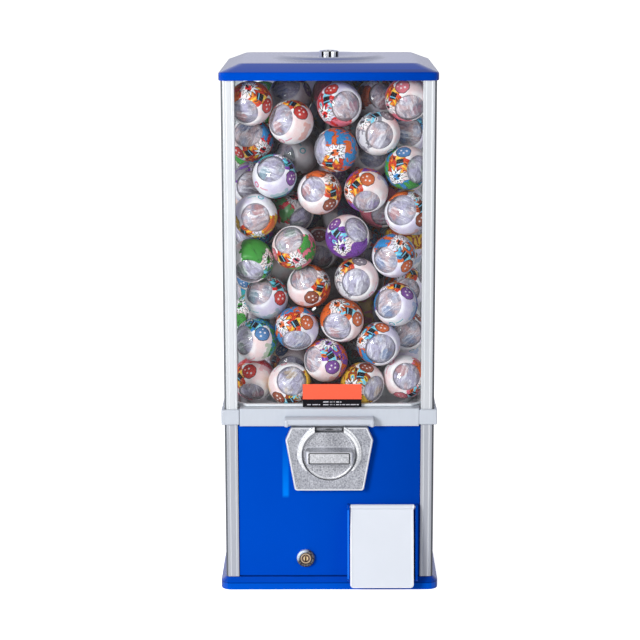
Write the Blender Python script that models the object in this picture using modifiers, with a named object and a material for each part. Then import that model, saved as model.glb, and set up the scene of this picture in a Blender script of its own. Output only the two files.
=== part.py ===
"""A coin-operated capsule vending machine, built as an assembly of separate pieces.

Metres, +Z up. The origin is the middle of the underside of the base, the front faces -Y.
Each moving group hangs on an empty that sits on its joint's axis.
"""

from math import atan2, cos, pi, radians, sin, tan

import bmesh
import bpy
from mathutils import Matrix, Vector

# ---------------------------------------------------------------- driving dimensions

GAP = 0.0003  # clearance between neighbouring pieces
SHEET = 0.0012  # pressed steel of the base and the lid
PANEL_SHEET = 0.0015

BASE_HALF = 0.130
BASE_CORNER = 0.012
BASE_WALL_TOP = 0.010
SHOULDER_HALF = 0.1245
SHOULDER_CORNER = 0.0075
BASE_TOP = 0.0144
BASE_OPENING_HALF = 0.106

BODY_HALF = 0.124  # outer faces of the posts
POST_SIZE = 0.0155
POST_CORNER = 0.004
PANE_PLANE = 0.119  # distance of every panel and window from the middle
PANE_REACH = 0.1135  # how far a pane reaches sideways, into the slots of the posts
SLOT_WIDTH = 0.0034
SLOT_DEPTH = 0.006
WINDOW_THICKNESS = 0.0028
WINDOW_TOP = 0.612
POST_TOP = 0.616

RAIL_FACE = 0.127
RAIL_BOTTOM = 0.202
RAIL_TOP = 0.2230
RAIL_WALL = 0.003
RAIL_FLANGE_INNER = 0.112
RAIL_HALF_LENGTH = 0.1057
SLEEVE_INNER = 0.106
SLEEVE_OUTER = 0.1275
SLEEVE_BOTTOM = 0.2033
SLEEVE_TOP = 0.2217
SLEEVE_WEB_LOW = 0.2116
SLEEVE_WEB_HIGH = 0.2134

LID_HALF = 0.1265
LID_CORNER = 0.008
LID_BOTTOM = 0.608
LID_LIP_TOP = 0.6173
LID_FLAT_HALF = 0.1027
LID_FLAT_CORNER = 0.003
LID_TOP = 0.6264
EMBOSS_RADIUS = 0.072
EMBOSS_CREST_RADIUS = 0.056
EMBOSS_CREST = 0.0035
EMBOSS_CENTRE_RISE = 0.0002
LID_LOCK_TOP = 0.635

PANEL_FRONT = -0.122  # front face of the service panel
PANEL_HALF = 0.108
PANEL_BOTTOM = 0.0152
PANEL_TOP = 0.2015

DIAL_HEIGHT = 0.1687  # axis of the coin dial, on the middle plane
DIAL_RADIUS = 0.0315
DIAL_RECESS_RADIUS = 0.0323
GUARD_RADIUS = 0.038
CARRIER_RADIUS = 0.0265
MECH_FRONT = -0.132
MECH_BACK = PANEL_FRONT - GAP
COIN_SLOT_HALF = 0.0172
COIN_SLOT_BOTTOM = 0.1948
SHAFT_RADIUS = 0.005

GEAR_TEETH = 12
GEAR_ROOT = 0.017
GEAR_TIP = 0.022
GEAR_FRONT = -0.103
GEAR_BACK = -0.094
CROWN_TEETH = 60
CROWN_ROOT = 0.092  # inner end of the crown teeth
CROWN_GAP_WIDTH = 0.0068

PAN_INNER = 0.1045
PAN_OUTER = 0.107
PAN_FLOOR = 0.184
PAN_FLOOR_TOP = 0.187
PAN_HUB_RADIUS = 0.009
PAN_HUB_LENGTH = 0.006
JOIN_OVERLAP = 0.0006  # how far two shapes reach into each other before they are joined
PAN_FLANGE_HALF = 0.1155
PAN_FLANGE_DIAGONAL = 0.213  # x + y at the cut corners, clear of the posts
PAN_FLANGE_TOP = 0.2258
RECESS_HALF = 0.1095  # the square tray above the round pan, inside its walls
RECESS_DIAGONAL = 0.2085
RECESS_WALL = 0.0018
RECESS_FLOOR = 0.207
RECESS_FLOOR_TOP = 0.209
WHEEL_RADIUS = 0.103
WHEEL_BOTTOM = 0.1875
WHEEL_TOP = 0.214
COLLAR_RADIUS = 0.010
COLLAR_HEIGHT = 0.0055
POCKETS = 5
POCKET_RADIUS = 0.0285
POCKET_CIRCLE = 0.060
EXIT_RADIUS = 0.029

ROD_RADIUS = 0.0045
ROD_BORE = 0.0048
ROD_BOTTOM = 0.0043
ROD_TOP = 0.596

CHUTE_LEFT = 0.028
CHUTE_RIGHT = 0.100
FLAP_LEFT = 0.025
FLAP_RIGHT = 0.1016
FLAP_AXIS_Y = -0.1275
FLAP_AXIS_Z = 0.1025
FLAP_LENGTH = 0.0965
FLAP_TILT = radians(12)

CAM_LOCK_X = -0.0284
CAM_LOCK_Z = 0.0378

LABEL_LEFT = -0.0313
LABEL_RIGHT = 0.0382
LABEL_TOP = 0.2513
LABEL_THICKNESS = 0.0003

LOAD_HALF = 0.114
LOAD_BOTTOM = 0.2295
LOAD_TOP = 0.615
LOAD_WALL = 0.004

FINE = 48  # sides of a large round
COARSE = 24  # sides of a small round

# ---------------------------------------------------------------- materials

FINISHES = {  # colour, roughness, metallic
    "blue_paint": ((0.004, 0.075, 0.60), 0.30, 0.0),
    "anodised_aluminium": ((0.72, 0.74, 0.77), 0.38, 1.0),
    "grey_plastic": ((0.62, 0.65, 0.70), 0.45, 0.0),
    "white_plastic": ((0.82, 0.84, 0.87), 0.40, 0.0),
    "clear_acrylic": ((0.92, 0.95, 0.96), 0.05, 0.0),
    "die_cast_zinc": ((0.52, 0.54, 0.57), 0.35, 1.0),
    "chrome": ((0.80, 0.81, 0.83), 0.12, 1.0),
    "brass": ((0.60, 0.45, 0.20), 0.30, 1.0),
    "plated_steel": ((0.55, 0.56, 0.58), 0.35, 1.0),
    "orange_print": ((0.90, 0.22, 0.12), 0.50, 0.0),
    "capsule_mix": ((0.70, 0.66, 0.72), 0.30, 0.0),
}


def make_finish(name):
    """One Principled material from the table above."""
    colour, roughness, metallic = FINISHES[name]
    finish = bpy.data.materials.new(name)
    finish.use_nodes = True
    shader = finish.node_tree.nodes["Principled BSDF"]
    shader.inputs["Base Color"].default_value = (*colour, 1)
    shader.inputs["Roughness"].default_value = roughness
    shader.inputs["Metallic"].default_value = metallic
    return finish


def clear_scene():
    """Start from nothing."""
    for old in list(bpy.data.objects):
        bpy.data.objects.remove(old)


clear_scene()
MATERIALS = {name: make_finish(name) for name in FINISHES}
PARTS = bpy.data.collections.new("capsule_vending_machine")
CUTTERS = bpy.data.collections.new("cutters")
bpy.context.scene.collection.children.link(PARTS)
bpy.context.scene.collection.children.link(CUTTERS)

# Rotations that turn a shape made in its own XY plane to face along Z, Y or X.
FACING = {
    "Z": (0, 0, 0),
    "Y": (pi / 2, 0, 0),
    "X": (pi / 2, 0, pi / 2),
}

# ---------------------------------------------------------------- modelling helpers


def place(name, mesh, finish, location=(0, 0, 0), facing="Z"):
    """Add a part with its finish, or a cutter when the finish is None."""
    item = bpy.data.objects.new(name, mesh)
    item.location = location
    item.rotation_euler = FACING[facing]
    if finish is None:
        CUTTERS.objects.link(item)
        item.hide_render = True
        item.display_type = "WIRE"
        return item
    PARTS.objects.link(item)
    mesh.materials.clear()
    mesh.materials.append(MATERIALS[finish])
    mesh.shade_smooth()
    mesh.set_sharp_from_angle(angle=radians(30))
    return item


def mesh_from(shape, name):
    """Turn a bmesh into a mesh."""
    mesh = bpy.data.meshes.new(name)
    shape.to_mesh(mesh)
    shape.free()
    return mesh


def evaluated_mesh(item):
    """The welded mesh of a curve or of an object with modifiers, which is then removed."""
    graph = bpy.context.evaluated_depsgraph_get()
    mesh = bpy.data.meshes.new_from_object(item.evaluated_get(graph))
    bpy.data.objects.remove(item)
    shape = bmesh.new()
    shape.from_mesh(mesh)
    bmesh.ops.remove_doubles(shape, verts=shape.verts, dist=0.000001)
    shape.to_mesh(mesh)
    shape.free()
    return mesh


def block(name, low, high, finish=None):
    """A box between two opposite corners."""
    size = Vector(high) - Vector(low)
    centre = (Vector(high) + Vector(low)) / 2
    shape = bmesh.new()
    bmesh.ops.create_cube(shape, size=1, matrix=Matrix.Diagonal((*size, 1)))
    return place(name, mesh_from(shape, name), finish, centre)


def rod(name, centre, radius, length, finish=None, facing="Z", sides=COARSE):
    """A round bar about its centre."""
    shape = bmesh.new()
    bmesh.ops.create_cone(
        shape,
        cap_ends=True,
        segments=sides,
        radius1=radius,
        radius2=radius,
        depth=length,
    )
    return place(name, mesh_from(shape, name), finish, centre, facing)


def plate(name, outlines, low, high, finish=None, facing="Z", origin=(0, 0)):
    """Flat outlines, the first with the others as holes in it, made solid between two levels.

    An outline is given as (x, y) for facing Z, (x, z) for Y and (y, z) for X, from the origin.
    """
    curve = bpy.data.curves.new(name, "CURVE")
    curve.dimensions = "2D"
    curve.fill_mode = "BOTH"
    curve.extrude = (high - low) / 2
    for outline in outlines:
        spline = curve.splines.new("POLY")
        spline.points.add(len(outline) - 1)
        for point, (across, along) in zip(spline.points, outline):
            point.co = (across, along, 0, 1)
        spline.use_cyclic_u = True
    drawn = bpy.data.objects.new(name + "_drawn", curve)
    PARTS.objects.link(drawn)
    mesh = evaluated_mesh(drawn)
    level = (low + high) / 2
    first, second = origin
    location = {
        "Z": (first, second, level),
        "Y": (first, level, second),
        "X": (level, first, second),
    }[facing]
    return place(name, mesh, finish, location, facing)


def turned(name, profile, finish=None, location=(0, 0, 0), facing="Z", closed=False, sides=COARSE):
    """A profile of (radius, height) turned about its axis. Its outer side runs downwards."""
    mesh = bpy.data.meshes.new(name)
    points = [(radius, 0, height) for radius, height in profile]
    edges = [(i, i + 1) for i in range(len(points) - 1)]
    if closed:
        edges.append((len(points) - 1, 0))
    mesh.from_pydata(points, edges, [])
    drawn = bpy.data.objects.new(name + "_drawn", mesh)
    PARTS.objects.link(drawn)
    screw = drawn.modifiers.new("turn", "SCREW")
    screw.steps = sides
    screw.render_steps = sides
    screw.use_merge_vertices = True
    screw.merge_threshold = 0.00001
    return place(name, evaluated_mesh(drawn), finish, location, facing)


def combine(target, tools, operation="DIFFERENCE"):
    """Cut the tools from the target, or join them to it."""
    for tool in tools:
        modifier = target.modifiers.new(tool.name, "BOOLEAN")
        modifier.operation = operation
        modifier.solver = "EXACT"
        modifier.object = tool
    return target


def soften(item, width, segments=2):
    """Round an object's sharp edges."""
    bevel = item.modifiers.new("soft_edges", "BEVEL")
    bevel.width = width
    bevel.segments = segments
    bevel.limit_method = "ANGLE"
    bevel.angle_limit = radians(40)
    return item


def circle(radius, sides=COARSE, centre=(0, 0)):
    """Points round a circle."""
    angles = [2 * pi * i / sides for i in range(sides)]
    return [(centre[0] + radius * cos(a), centre[1] + radius * sin(a)) for a in angles]


def arc(radius, start, end, steps, centre=(0, 0)):
    """Points along an arc, both ends included, angles in radians."""
    angles = [start + (end - start) * i / steps for i in range(steps + 1)]
    return [(centre[0] + radius * cos(a), centre[1] + radius * sin(a)) for a in angles]


def rectangle(left, right, bottom, top):
    """The four corners of a rectangle."""
    return [(left, bottom), (right, bottom), (right, top), (left, top)]


def rounded(corners, steps=4):
    """A closed outline whose corners (across, along, radius) are arcs."""
    points = []
    for i, (across, along, radius) in enumerate(corners):
        corner = Vector((across, along))
        if radius == 0:
            points.append(tuple(corner))
            continue
        back = (Vector(corners[i - 1][:2]) - corner).normalized()
        onward = (Vector(corners[(i + 1) % len(corners)][:2]) - corner).normalized()
        half_angle = back.angle(onward) / 2
        centre = corner + (back + onward).normalized() * (radius / sin(half_angle))
        start = corner + back * (radius / tan(half_angle)) - centre
        end = corner + onward * (radius / tan(half_angle)) - centre
        sweep = atan2(start.x * end.y - start.y * end.x, start.dot(end))
        first = atan2(start.y, start.x)
        points += arc(radius, first, first + sweep, steps, tuple(centre))
    return points


def square_ring(half, radius, steps=4):
    """A square outline with round corners, always with the same number of points."""
    corners = [(half, -half), (half, half), (-half, half), (-half, -half)]
    return rounded([(x, y, radius) for x, y in corners], steps)


def lofted_shell(name, sections, finish, thickness=SHEET):
    """A pressed shell through square sections (half, radius, height), closed at the last one.

    The first section stays open. Thickness is added inwards.
    """
    shape = bmesh.new()
    rings = []
    for half, radius, height in sections:
        outline = square_ring(half, radius)
        rings.append([shape.verts.new((x, y, height)) for x, y in outline])
    count = len(rings[0])
    for lower, upper in zip(rings, rings[1:]):
        for i in range(count):
            j = (i + 1) % count
            shape.faces.new((lower[i], lower[j], upper[j], upper[i]))
    shape.faces.new(rings[-1])
    bmesh.ops.recalc_face_normals(shape, faces=shape.faces)
    shape.faces.ensure_lookup_table()
    cap = shape.faces[-1]
    outward = 1 if sections[-1][2] > sections[0][2] else -1
    if cap.normal.z * outward < 0:
        bmesh.ops.reverse_faces(shape, faces=shape.faces)
    shell = place(name, mesh_from(shape, name), finish)
    solid = shell.modifiers.new("sheet", "SOLIDIFY")
    solid.thickness = thickness
    solid.offset = -1
    solid.use_even_offset = True
    return shell


def axis_empty(name, location):
    """An empty on a joint's axis, which the moving pieces hang on."""
    empty = bpy.data.objects.new(name, None)
    empty.location = location
    empty.empty_display_size = 0.02
    PARTS.objects.link(empty)
    return empty


def hang(pieces, empty):
    """Parent pieces to an empty where they stand."""
    bpy.context.view_layer.update()
    for piece in pieces:
        piece.parent = empty
        piece.matrix_parent_inverse = empty.matrix_world.inverted()


def hexagon(across_corners):
    """A nut's outline."""
    return circle(across_corners / 2, 6)


# ---------------------------------------------------------------- base and body frame


def build_base():
    """The pressed tray everything stands on, with a flat underside and an open flange on top."""
    sections = [
        (BASE_OPENING_HALF, 0.006, BASE_TOP),
        (SHOULDER_HALF, SHOULDER_CORNER, BASE_TOP),
        (BASE_HALF, BASE_CORNER, BASE_WALL_TOP),
        (BASE_HALF, BASE_CORNER, 0),
    ]
    return lofted_shell("base_tray", sections, "blue_paint")


def post_outline():
    """Section of a corner post: two slots for the panes and fine grooves on the outer faces."""
    inner = BODY_HALF - POST_SIZE
    near = PANE_PLANE - SLOT_WIDTH / 2
    far = PANE_PLANE + SLOT_WIDTH / 2
    bottom = inner + SLOT_DEPTH
    groove_width = 0.0006
    groove_depth = 0.0004
    groove_places = (0.1115, 0.1180)
    side = [(near, inner), (near, bottom), (far, bottom), (far, inner), (BODY_HALF, inner)]
    for along in groove_places:
        side.append((BODY_HALF, along - groove_width))
        side.append((BODY_HALF - groove_depth, along - groove_width / 2))
        side.append((BODY_HALF - groove_depth, along + groove_width / 2))
        side.append((BODY_HALF, along + groove_width))
    corner_centre = BODY_HALF - POST_CORNER
    corner = arc(POST_CORNER, 0, pi / 2, 4, (corner_centre, corner_centre))
    mirrored = [(y, x) for x, y in reversed(side)]
    return [(inner, inner)] + side + corner + mirrored


def build_posts():
    """Four lower and four upper posts, each a quarter turn from the next."""
    places = ("rear_right", "rear_left", "front_left", "front_right")
    spans = {
        "lower_post": (BASE_TOP + GAP, SLEEVE_WEB_LOW - GAP),
        "upper_post": (SLEEVE_WEB_HIGH + GAP, POST_TOP),
    }
    for kind, (low, high) in spans.items():
        first = plate(f"{kind}_{places[0]}", [post_outline()], low, high, "anodised_aluminium")
        for turn in range(1, 4):
            post = place(f"{kind}_{places[turn]}", first.data, "anodised_aluminium", first.location)
            post.rotation_euler.z = turn * pi / 2


def build_sleeves():
    """Moulded sleeves that join each lower post to the upper one."""
    places = ("rear_right", "rear_left", "front_left", "front_right")
    inner = BODY_HALF - POST_SIZE - GAP
    outer = BODY_HALF + GAP
    corners = [(inner, inner), (outer, inner), (outer, outer), (inner, outer)]
    socket = rounded([(x, y, 0 if x == inner or y == inner else POST_CORNER) for x, y in corners])
    spans = {
        "lower": (SLEEVE_BOTTOM - 0.001, SLEEVE_WEB_LOW),
        "upper": (SLEEVE_WEB_HIGH, SLEEVE_TOP + 0.001),
    }
    for turn, where in enumerate(places):
        low = (SLEEVE_INNER, SLEEVE_INNER, SLEEVE_BOTTOM)
        high = (SLEEVE_OUTER, SLEEVE_OUTER, SLEEVE_TOP)
        sleeve = soften(block(f"corner_sleeve_{where}", low, high, "grey_plastic"), 0.0014)
        sleeve.location = Matrix.Rotation(turn * pi / 2, 3, "Z") @ sleeve.location
        sleeve.rotation_euler.z = turn * pi / 2
        for span, (bottom, top) in spans.items():
            cutter = plate(f"{span}_socket_{where}", [socket], bottom, top)
            cutter.rotation_euler.z = turn * pi / 2
            combine(sleeve, [cutter])


def rail_outline():
    """Section of a rail, (y, z) at the front: face, inward flange on top, small lip below."""
    back = -(RAIL_FACE - RAIL_WALL)
    return [
        (-RAIL_FACE, RAIL_BOTTOM + 0.0016),
        (-RAIL_FACE - 0.0005, RAIL_BOTTOM + 0.0012),
        (-RAIL_FACE - 0.0005, RAIL_BOTTOM),
        (back, RAIL_BOTTOM),
        (back, RAIL_TOP - RAIL_WALL),
        (-RAIL_FLANGE_INNER, RAIL_TOP - RAIL_WALL),
        (-RAIL_FLANGE_INNER, RAIL_TOP),
        (-RAIL_FACE + 0.0008, RAIL_TOP),
        (-RAIL_FACE, RAIL_TOP - 0.0008),
    ]


def add_hood(rail):
    """A hollow hood over the coin slot, joined to the front rail."""
    half = 0.0517
    front = -0.141
    root = -0.126
    section = rounded(
        [
            (root, 0.2041, 0),
            (front + 0.003, 0.2041, 0.0012),
            (front, 0.2075, 0.001),
            (front, 0.2128, 0.0016),
            (front + 0.003, 0.2144, 0.0012),
            (root, 0.2144, 0),
        ]
    )
    hood = plate("hood_body", [section], -half, half, facing="X")
    combine(rail, [hood], "UNION")
    hollow = block("hood_hollow", (-0.043, front + 0.0022, 0.200), (0.043, -0.1275, 0.2118))
    throat = block("hood_throat", (-0.047, front - 0.001, 0.2035), (0.047, -0.1275, 0.2065))
    combine(rail, [hollow, throat])


def build_rails():
    """Four rails between the sleeves, the front one with the hood."""
    names = ("rail_front", "rail_right", "rail_rear", "rail_left")
    for turn, name in enumerate(names):
        span = (-RAIL_HALF_LENGTH, RAIL_HALF_LENGTH)
        rail = plate(name, [rail_outline()], *span, "grey_plastic", "X")
        rail.rotation_euler.z += turn * pi / 2
        if name == "rail_front":
            add_hood(rail)


def build_panes():
    """Side and rear panels below the rails, windows above them, all held in the posts' slots."""
    low_span = (BASE_TOP + GAP, PANEL_TOP)
    high_span = (RAIL_TOP + GAP, WINDOW_TOP)
    panes = [
        ("side_panel_left", "X", -1, PANEL_SHEET, low_span, "blue_paint"),
        ("side_panel_right", "X", 1, PANEL_SHEET, low_span, "blue_paint"),
        ("rear_panel", "Y", 1, PANEL_SHEET, low_span, "blue_paint"),
        ("window_left", "X", -1, WINDOW_THICKNESS, high_span, "clear_acrylic"),
        ("window_right", "X", 1, WINDOW_THICKNESS, high_span, "clear_acrylic"),
        ("window_rear", "Y", 1, WINDOW_THICKNESS, high_span, "clear_acrylic"),
        ("window_front", "Y", -1, WINDOW_THICKNESS, high_span, "clear_acrylic"),
    ]
    for name, facing, side, thickness, (low, high), finish in panes:
        near = side * PANE_PLANE - thickness / 2
        far = side * PANE_PLANE + thickness / 2
        if facing == "X":
            block(name, (near, -PANE_REACH, low), (far, PANE_REACH, high), finish)
        else:
            block(name, (-PANE_REACH, near, low), (PANE_REACH, far, high), finish)


def build_label():
    """The blank printed label stuck on the front window."""
    back = -PANE_PLANE - WINDOW_THICKNESS / 2 - GAP
    low = (LABEL_LEFT, back - LABEL_THICKNESS, RAIL_TOP + 2 * GAP)
    high = (LABEL_RIGHT, back, LABEL_TOP)
    block("window_label", low, high, "orange_print")


# ---------------------------------------------------------------- hopper and dispensing wheel


def build_rod():
    """The tie rod up the middle, its foot on the base floor and the strike cup on its top."""
    middle = (ROD_BOTTOM + ROD_TOP) / 2
    rod("centre_rod", (0, 0, middle), ROD_RADIUS, ROD_TOP - ROD_BOTTOM, "plated_steel")
    foot_profile = [
        (0, 0.004),
        (ROD_BORE, 0.004),
        (ROD_BORE, 0.016),
        (0.009, 0.016),
        (0.009, 0.0035),
        (0.020, 0.0035),
        (0.020, SHEET + GAP),
        (0, SHEET + GAP),
    ]
    turned("rod_foot", foot_profile, "plated_steel")
    cup_profile = [
        (0, 0.606),
        (0.014, 0.606),
        (0.014, 0.588),
        (ROD_BORE, 0.588),
        (ROD_BORE, 0.592),
        (0.012, 0.592),
        (0.012, 0.604),
        (0, 0.604),
    ]
    cup = turned("rod_strike_cup", cup_profile, "plated_steel")
    slot = block("strike_slot", (-0.011, -0.004, 0.603), (0.011, 0.004, 0.607))
    combine(cup, [slot])


def cut_square(half, diagonal):
    """Outline of a square whose corners are cut where x + y passes the diagonal."""
    rest = diagonal - half
    quarter = [(half, -rest), (half, rest), (rest, half), (-rest, half)]
    return quarter + [(-x, -y) for x, y in quarter]


def build_hopper_tray():
    """The white hopper: a flange on the rails, a square tray in it and a round pan below."""
    hub_drop = PAN_FLOOR - PAN_HUB_LENGTH
    pan_profile = [
        (PAN_OUTER, RECESS_FLOOR_TOP - JOIN_OVERLAP),
        (PAN_OUTER, PAN_FLOOR),
        (PAN_HUB_RADIUS, PAN_FLOOR),
        (PAN_HUB_RADIUS, hub_drop),
        (ROD_BORE, hub_drop),
        (ROD_BORE, PAN_FLOOR_TOP),
        (PAN_INNER, PAN_FLOOR_TOP),
        (PAN_INNER, RECESS_FLOOR_TOP - JOIN_OVERLAP),
    ]
    tray = turned("hopper_tray", pan_profile, "white_plastic", closed=True, sides=FINE)
    outside = cut_square(RECESS_HALF + RECESS_WALL, RECESS_DIAGONAL + RECESS_WALL)
    square = plate("square_tray", [outside], RECESS_FLOOR, PAN_FLANGE_TOP - JOIN_OVERLAP)
    flange_outline = cut_square(PAN_FLANGE_HALF, PAN_FLANGE_DIAGONAL)
    flange = plate("pan_flange", [flange_outline], RAIL_TOP + GAP, PAN_FLANGE_TOP)
    combine(square, [flange], "UNION")
    mouth_outline = cut_square(RECESS_HALF, RECESS_DIAGONAL)
    mouth = plate("tray_mouth", [mouth_outline], RECESS_FLOOR_TOP, PAN_FLANGE_TOP + RECESS_WALL)
    hole_depth = 4 * RECESS_WALL
    hole_radius = PAN_INNER + JOIN_OVERLAP
    hole = rod("tray_hole", (0, 0, RECESS_FLOOR), hole_radius, hole_depth, sides=FINE)
    combine(square, [mouth, hole])
    combine(tray, [square], "UNION")
    exit_hole = rod("pan_exit", (POCKET_CIRCLE, 0, PAN_FLOOR), EXIT_RADIUS, 0.012, sides=FINE)
    gear_slot = block("pan_gear_slot", (-0.024, -0.112, 0.176), (0.024, -0.092, 0.1915))
    combine(tray, [exit_hole, gear_slot])


def build_wheel():
    """The pocket wheel, with the crown teeth that the drive gear turns cut into its underside."""
    middle = (WHEEL_BOTTOM + WHEEL_TOP) / 2
    height = WHEEL_TOP - WHEEL_BOTTOM
    pockets = []
    for i in range(POCKETS):
        angle = 2 * pi * i / POCKETS
        centre = (POCKET_CIRCLE * cos(angle), POCKET_CIRCLE * sin(angle))
        pockets.append(circle(POCKET_RADIUS, COARSE, centre))
    outlines = [circle(WHEEL_RADIUS, 60), *pockets, circle(0.0052)]
    wheel = plate("dispensing_wheel", outlines, WHEEL_BOTTOM, WHEEL_TOP, "white_plastic")
    gaps = bmesh.new()
    length = WHEEL_RADIUS + 0.002 - CROWN_ROOT
    size = Matrix.Diagonal((length, CROWN_GAP_WIDTH, 0.006, 1))
    centre = Matrix.Translation((CROWN_ROOT + length / 2, 0, WHEEL_BOTTOM + 0.002))
    for i in range(CROWN_TEETH):
        turn = Matrix.Rotation(-pi / 2 + 2 * pi * i / CROWN_TEETH, 4, "Z")
        bmesh.ops.create_cube(gaps, size=1, matrix=turn @ centre @ size)
    combine(wheel, [place("crown_gaps", mesh_from(gaps, "crown_gaps"), None)])
    hang([wheel], axis_empty("wheel_axis", (0, 0, middle - height / 2)))


def build_wheel_fixings():
    """The collar over the wheel, the nut under the pan and the bent guard over the exit."""
    bore = circle(ROD_BORE)
    collar_bottom = WHEEL_TOP + 0.0005
    collar = [circle(COLLAR_RADIUS), bore]
    plate("wheel_collar", collar, collar_bottom, collar_bottom + COLLAR_HEIGHT, "plated_steel")
    nut_top = PAN_FLOOR - PAN_HUB_LENGTH - GAP
    plate("pan_clamp_nut", [hexagon(0.019), bore], nut_top - 0.0065, nut_top, "plated_steel")
    under = 0.241
    foot = PAN_FLANGE_TOP + GAP
    guard = [
        (0.029, under),
        (0.0975, under),
        (0.1035, foot),
        (0.1150, foot),
        (0.1150, foot + PANEL_SHEET),
        (0.1045, foot + PANEL_SHEET),
        (0.0985, under + PANEL_SHEET),
        (0.029, under + PANEL_SHEET),
    ]
    plate("exit_guard", [guard], -0.030, 0.030, "white_plastic", "Y")


def build_chute():
    """The duct from the exit hole down to the flap: open on top and at the front."""
    wall = PANEL_SHEET
    front = PANEL_FRONT + PANEL_SHEET + 0.001
    top = PAN_FLOOR - 0.0005
    outer = [
        (front, 0.0185),
        (0.0345, 0.098),
        (0.0345, top),
        (-0.0335, top),
        (-0.0335, 0.1335),
        (front, 0.1055),
    ]
    beyond = front - 0.002
    inner = [
        (beyond, 0.0195),
        (0.033, 0.0988),
        (0.033, top + 0.002),
        (-0.032, top + 0.002),
        (-0.032, 0.1325),
        (beyond, 0.1038),
    ]
    chute = plate("chute", [outer], CHUTE_LEFT, CHUTE_RIGHT, "white_plastic", "X")
    hollow = plate("chute_hollow", [inner], CHUTE_LEFT + wall, CHUTE_RIGHT - wall, facing="X")
    combine(chute, [hollow])


def build_capsule_load():
    """The stack of capsules as one plain hollow body, open below, round the rod."""
    outer = square_ring(LOAD_HALF, 0.024)
    inner = square_ring(LOAD_HALF - LOAD_WALL, 0.020)
    load = plate("capsule_load", [outer], LOAD_BOTTOM, LOAD_TOP, "capsule_mix")
    hollow = plate("load_hollow", [inner], LOAD_BOTTOM - 0.002, LOAD_TOP - LOAD_WALL)
    hole = rod("load_hole", (0, 0, LOAD_TOP), 0.016, 0.02)
    combine(load, [hollow, hole])


# ---------------------------------------------------------------- service panel and coin mechanism


def build_service_panel():
    """The removable front panel, with its openings and folded sides."""
    outlines = [
        rectangle(-PANEL_HALF, PANEL_HALF, PANEL_BOTTOM, PANEL_TOP),
        rectangle(-0.040, 0.040, 0.130, 0.198),
        rectangle(0.026, 0.101, 0.018, 0.103),
        circle(0.009, COARSE, (CAM_LOCK_X, CAM_LOCK_Z)),
    ]
    back = PANEL_FRONT + PANEL_SHEET
    panel = plate("service_panel", outlines, PANEL_FRONT, back, "blue_paint", "Y")
    for side in (-1, 1):
        edges = sorted((side * PANEL_HALF, side * (PANEL_HALF - PANEL_SHEET)))
        low = (edges[0], PANEL_FRONT + 0.0005, PANEL_BOTTOM + 0.002)
        high = (edges[1], -0.112, PANEL_TOP - 0.002)
        fold = block(f"panel_fold_{side}", low, high)
        combine(panel, [fold], "UNION")
    return panel


def mech_outline():
    """The shield shape of the coin mechanism's face, (x, z)."""
    half = [(0.041, 0.1235, 0.004), (0.052, 0.1856, 0.003), (0.045, PANEL_TOP, 0.0025)]
    mirrored = [(-x, z, radius) for x, z, radius in reversed(half)]
    return rounded(half + mirrored, 3)


def guard_half(side):
    """One half of the raised horseshoe round the dial, ending at the coin slot."""
    start = radians(-36)
    end = radians(62)
    outer = arc(GUARD_RADIUS, start, end, 10)
    inner = arc(DIAL_RECESS_RADIUS, end, start, 10)
    points = outer + inner
    return [(side * x, z) for x, z in points][::side]


def build_mech_plate():
    """The die-cast face: shield, dial recess, coin slot and raised guard."""
    face = plate("coin_mech_plate", [mech_outline()], MECH_FRONT, MECH_BACK, "die_cast_zinc", "Y")
    soften(face, 0.0012, 1)
    for side in (-1, 1):
        name = f"guard_half_{side}"
        low, high = MECH_FRONT - 0.005, MECH_FRONT + 0.003
        half = plate(name, [guard_half(side)], low, high, facing="Y", origin=(0, DIAL_HEIGHT))
        combine(face, [half], "UNION")
    floor = MECH_BACK - 0.002
    recess_depth = floor - MECH_FRONT + 0.008
    centre_y = floor - recess_depth / 2
    middle = (0, centre_y, DIAL_HEIGHT)
    recess = rod("dial_recess", middle, DIAL_RECESS_RADIUS, recess_depth, None, "Y", FINE)
    bore = rod("face_bore", (0, MECH_BACK, DIAL_HEIGHT), SHAFT_RADIUS + 0.0005, 0.02, None, "Y")
    low = (-COIN_SLOT_HALF, MECH_FRONT - 0.01, COIN_SLOT_BOTTOM)
    high = (COIN_SLOT_HALF, floor - 0.0007, PANEL_TOP + 0.002)
    slot = block("coin_slot", low, high)
    combine(face, [recess, bore, slot])
    for side in (-1, 1):
        hole = (side * 0.032, MECH_BACK, 0.139)
        combine(face, [rod(f"face_screw_hole_{side}", hole, 0.0023, 0.010, None, "Y")])
    return face


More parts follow.
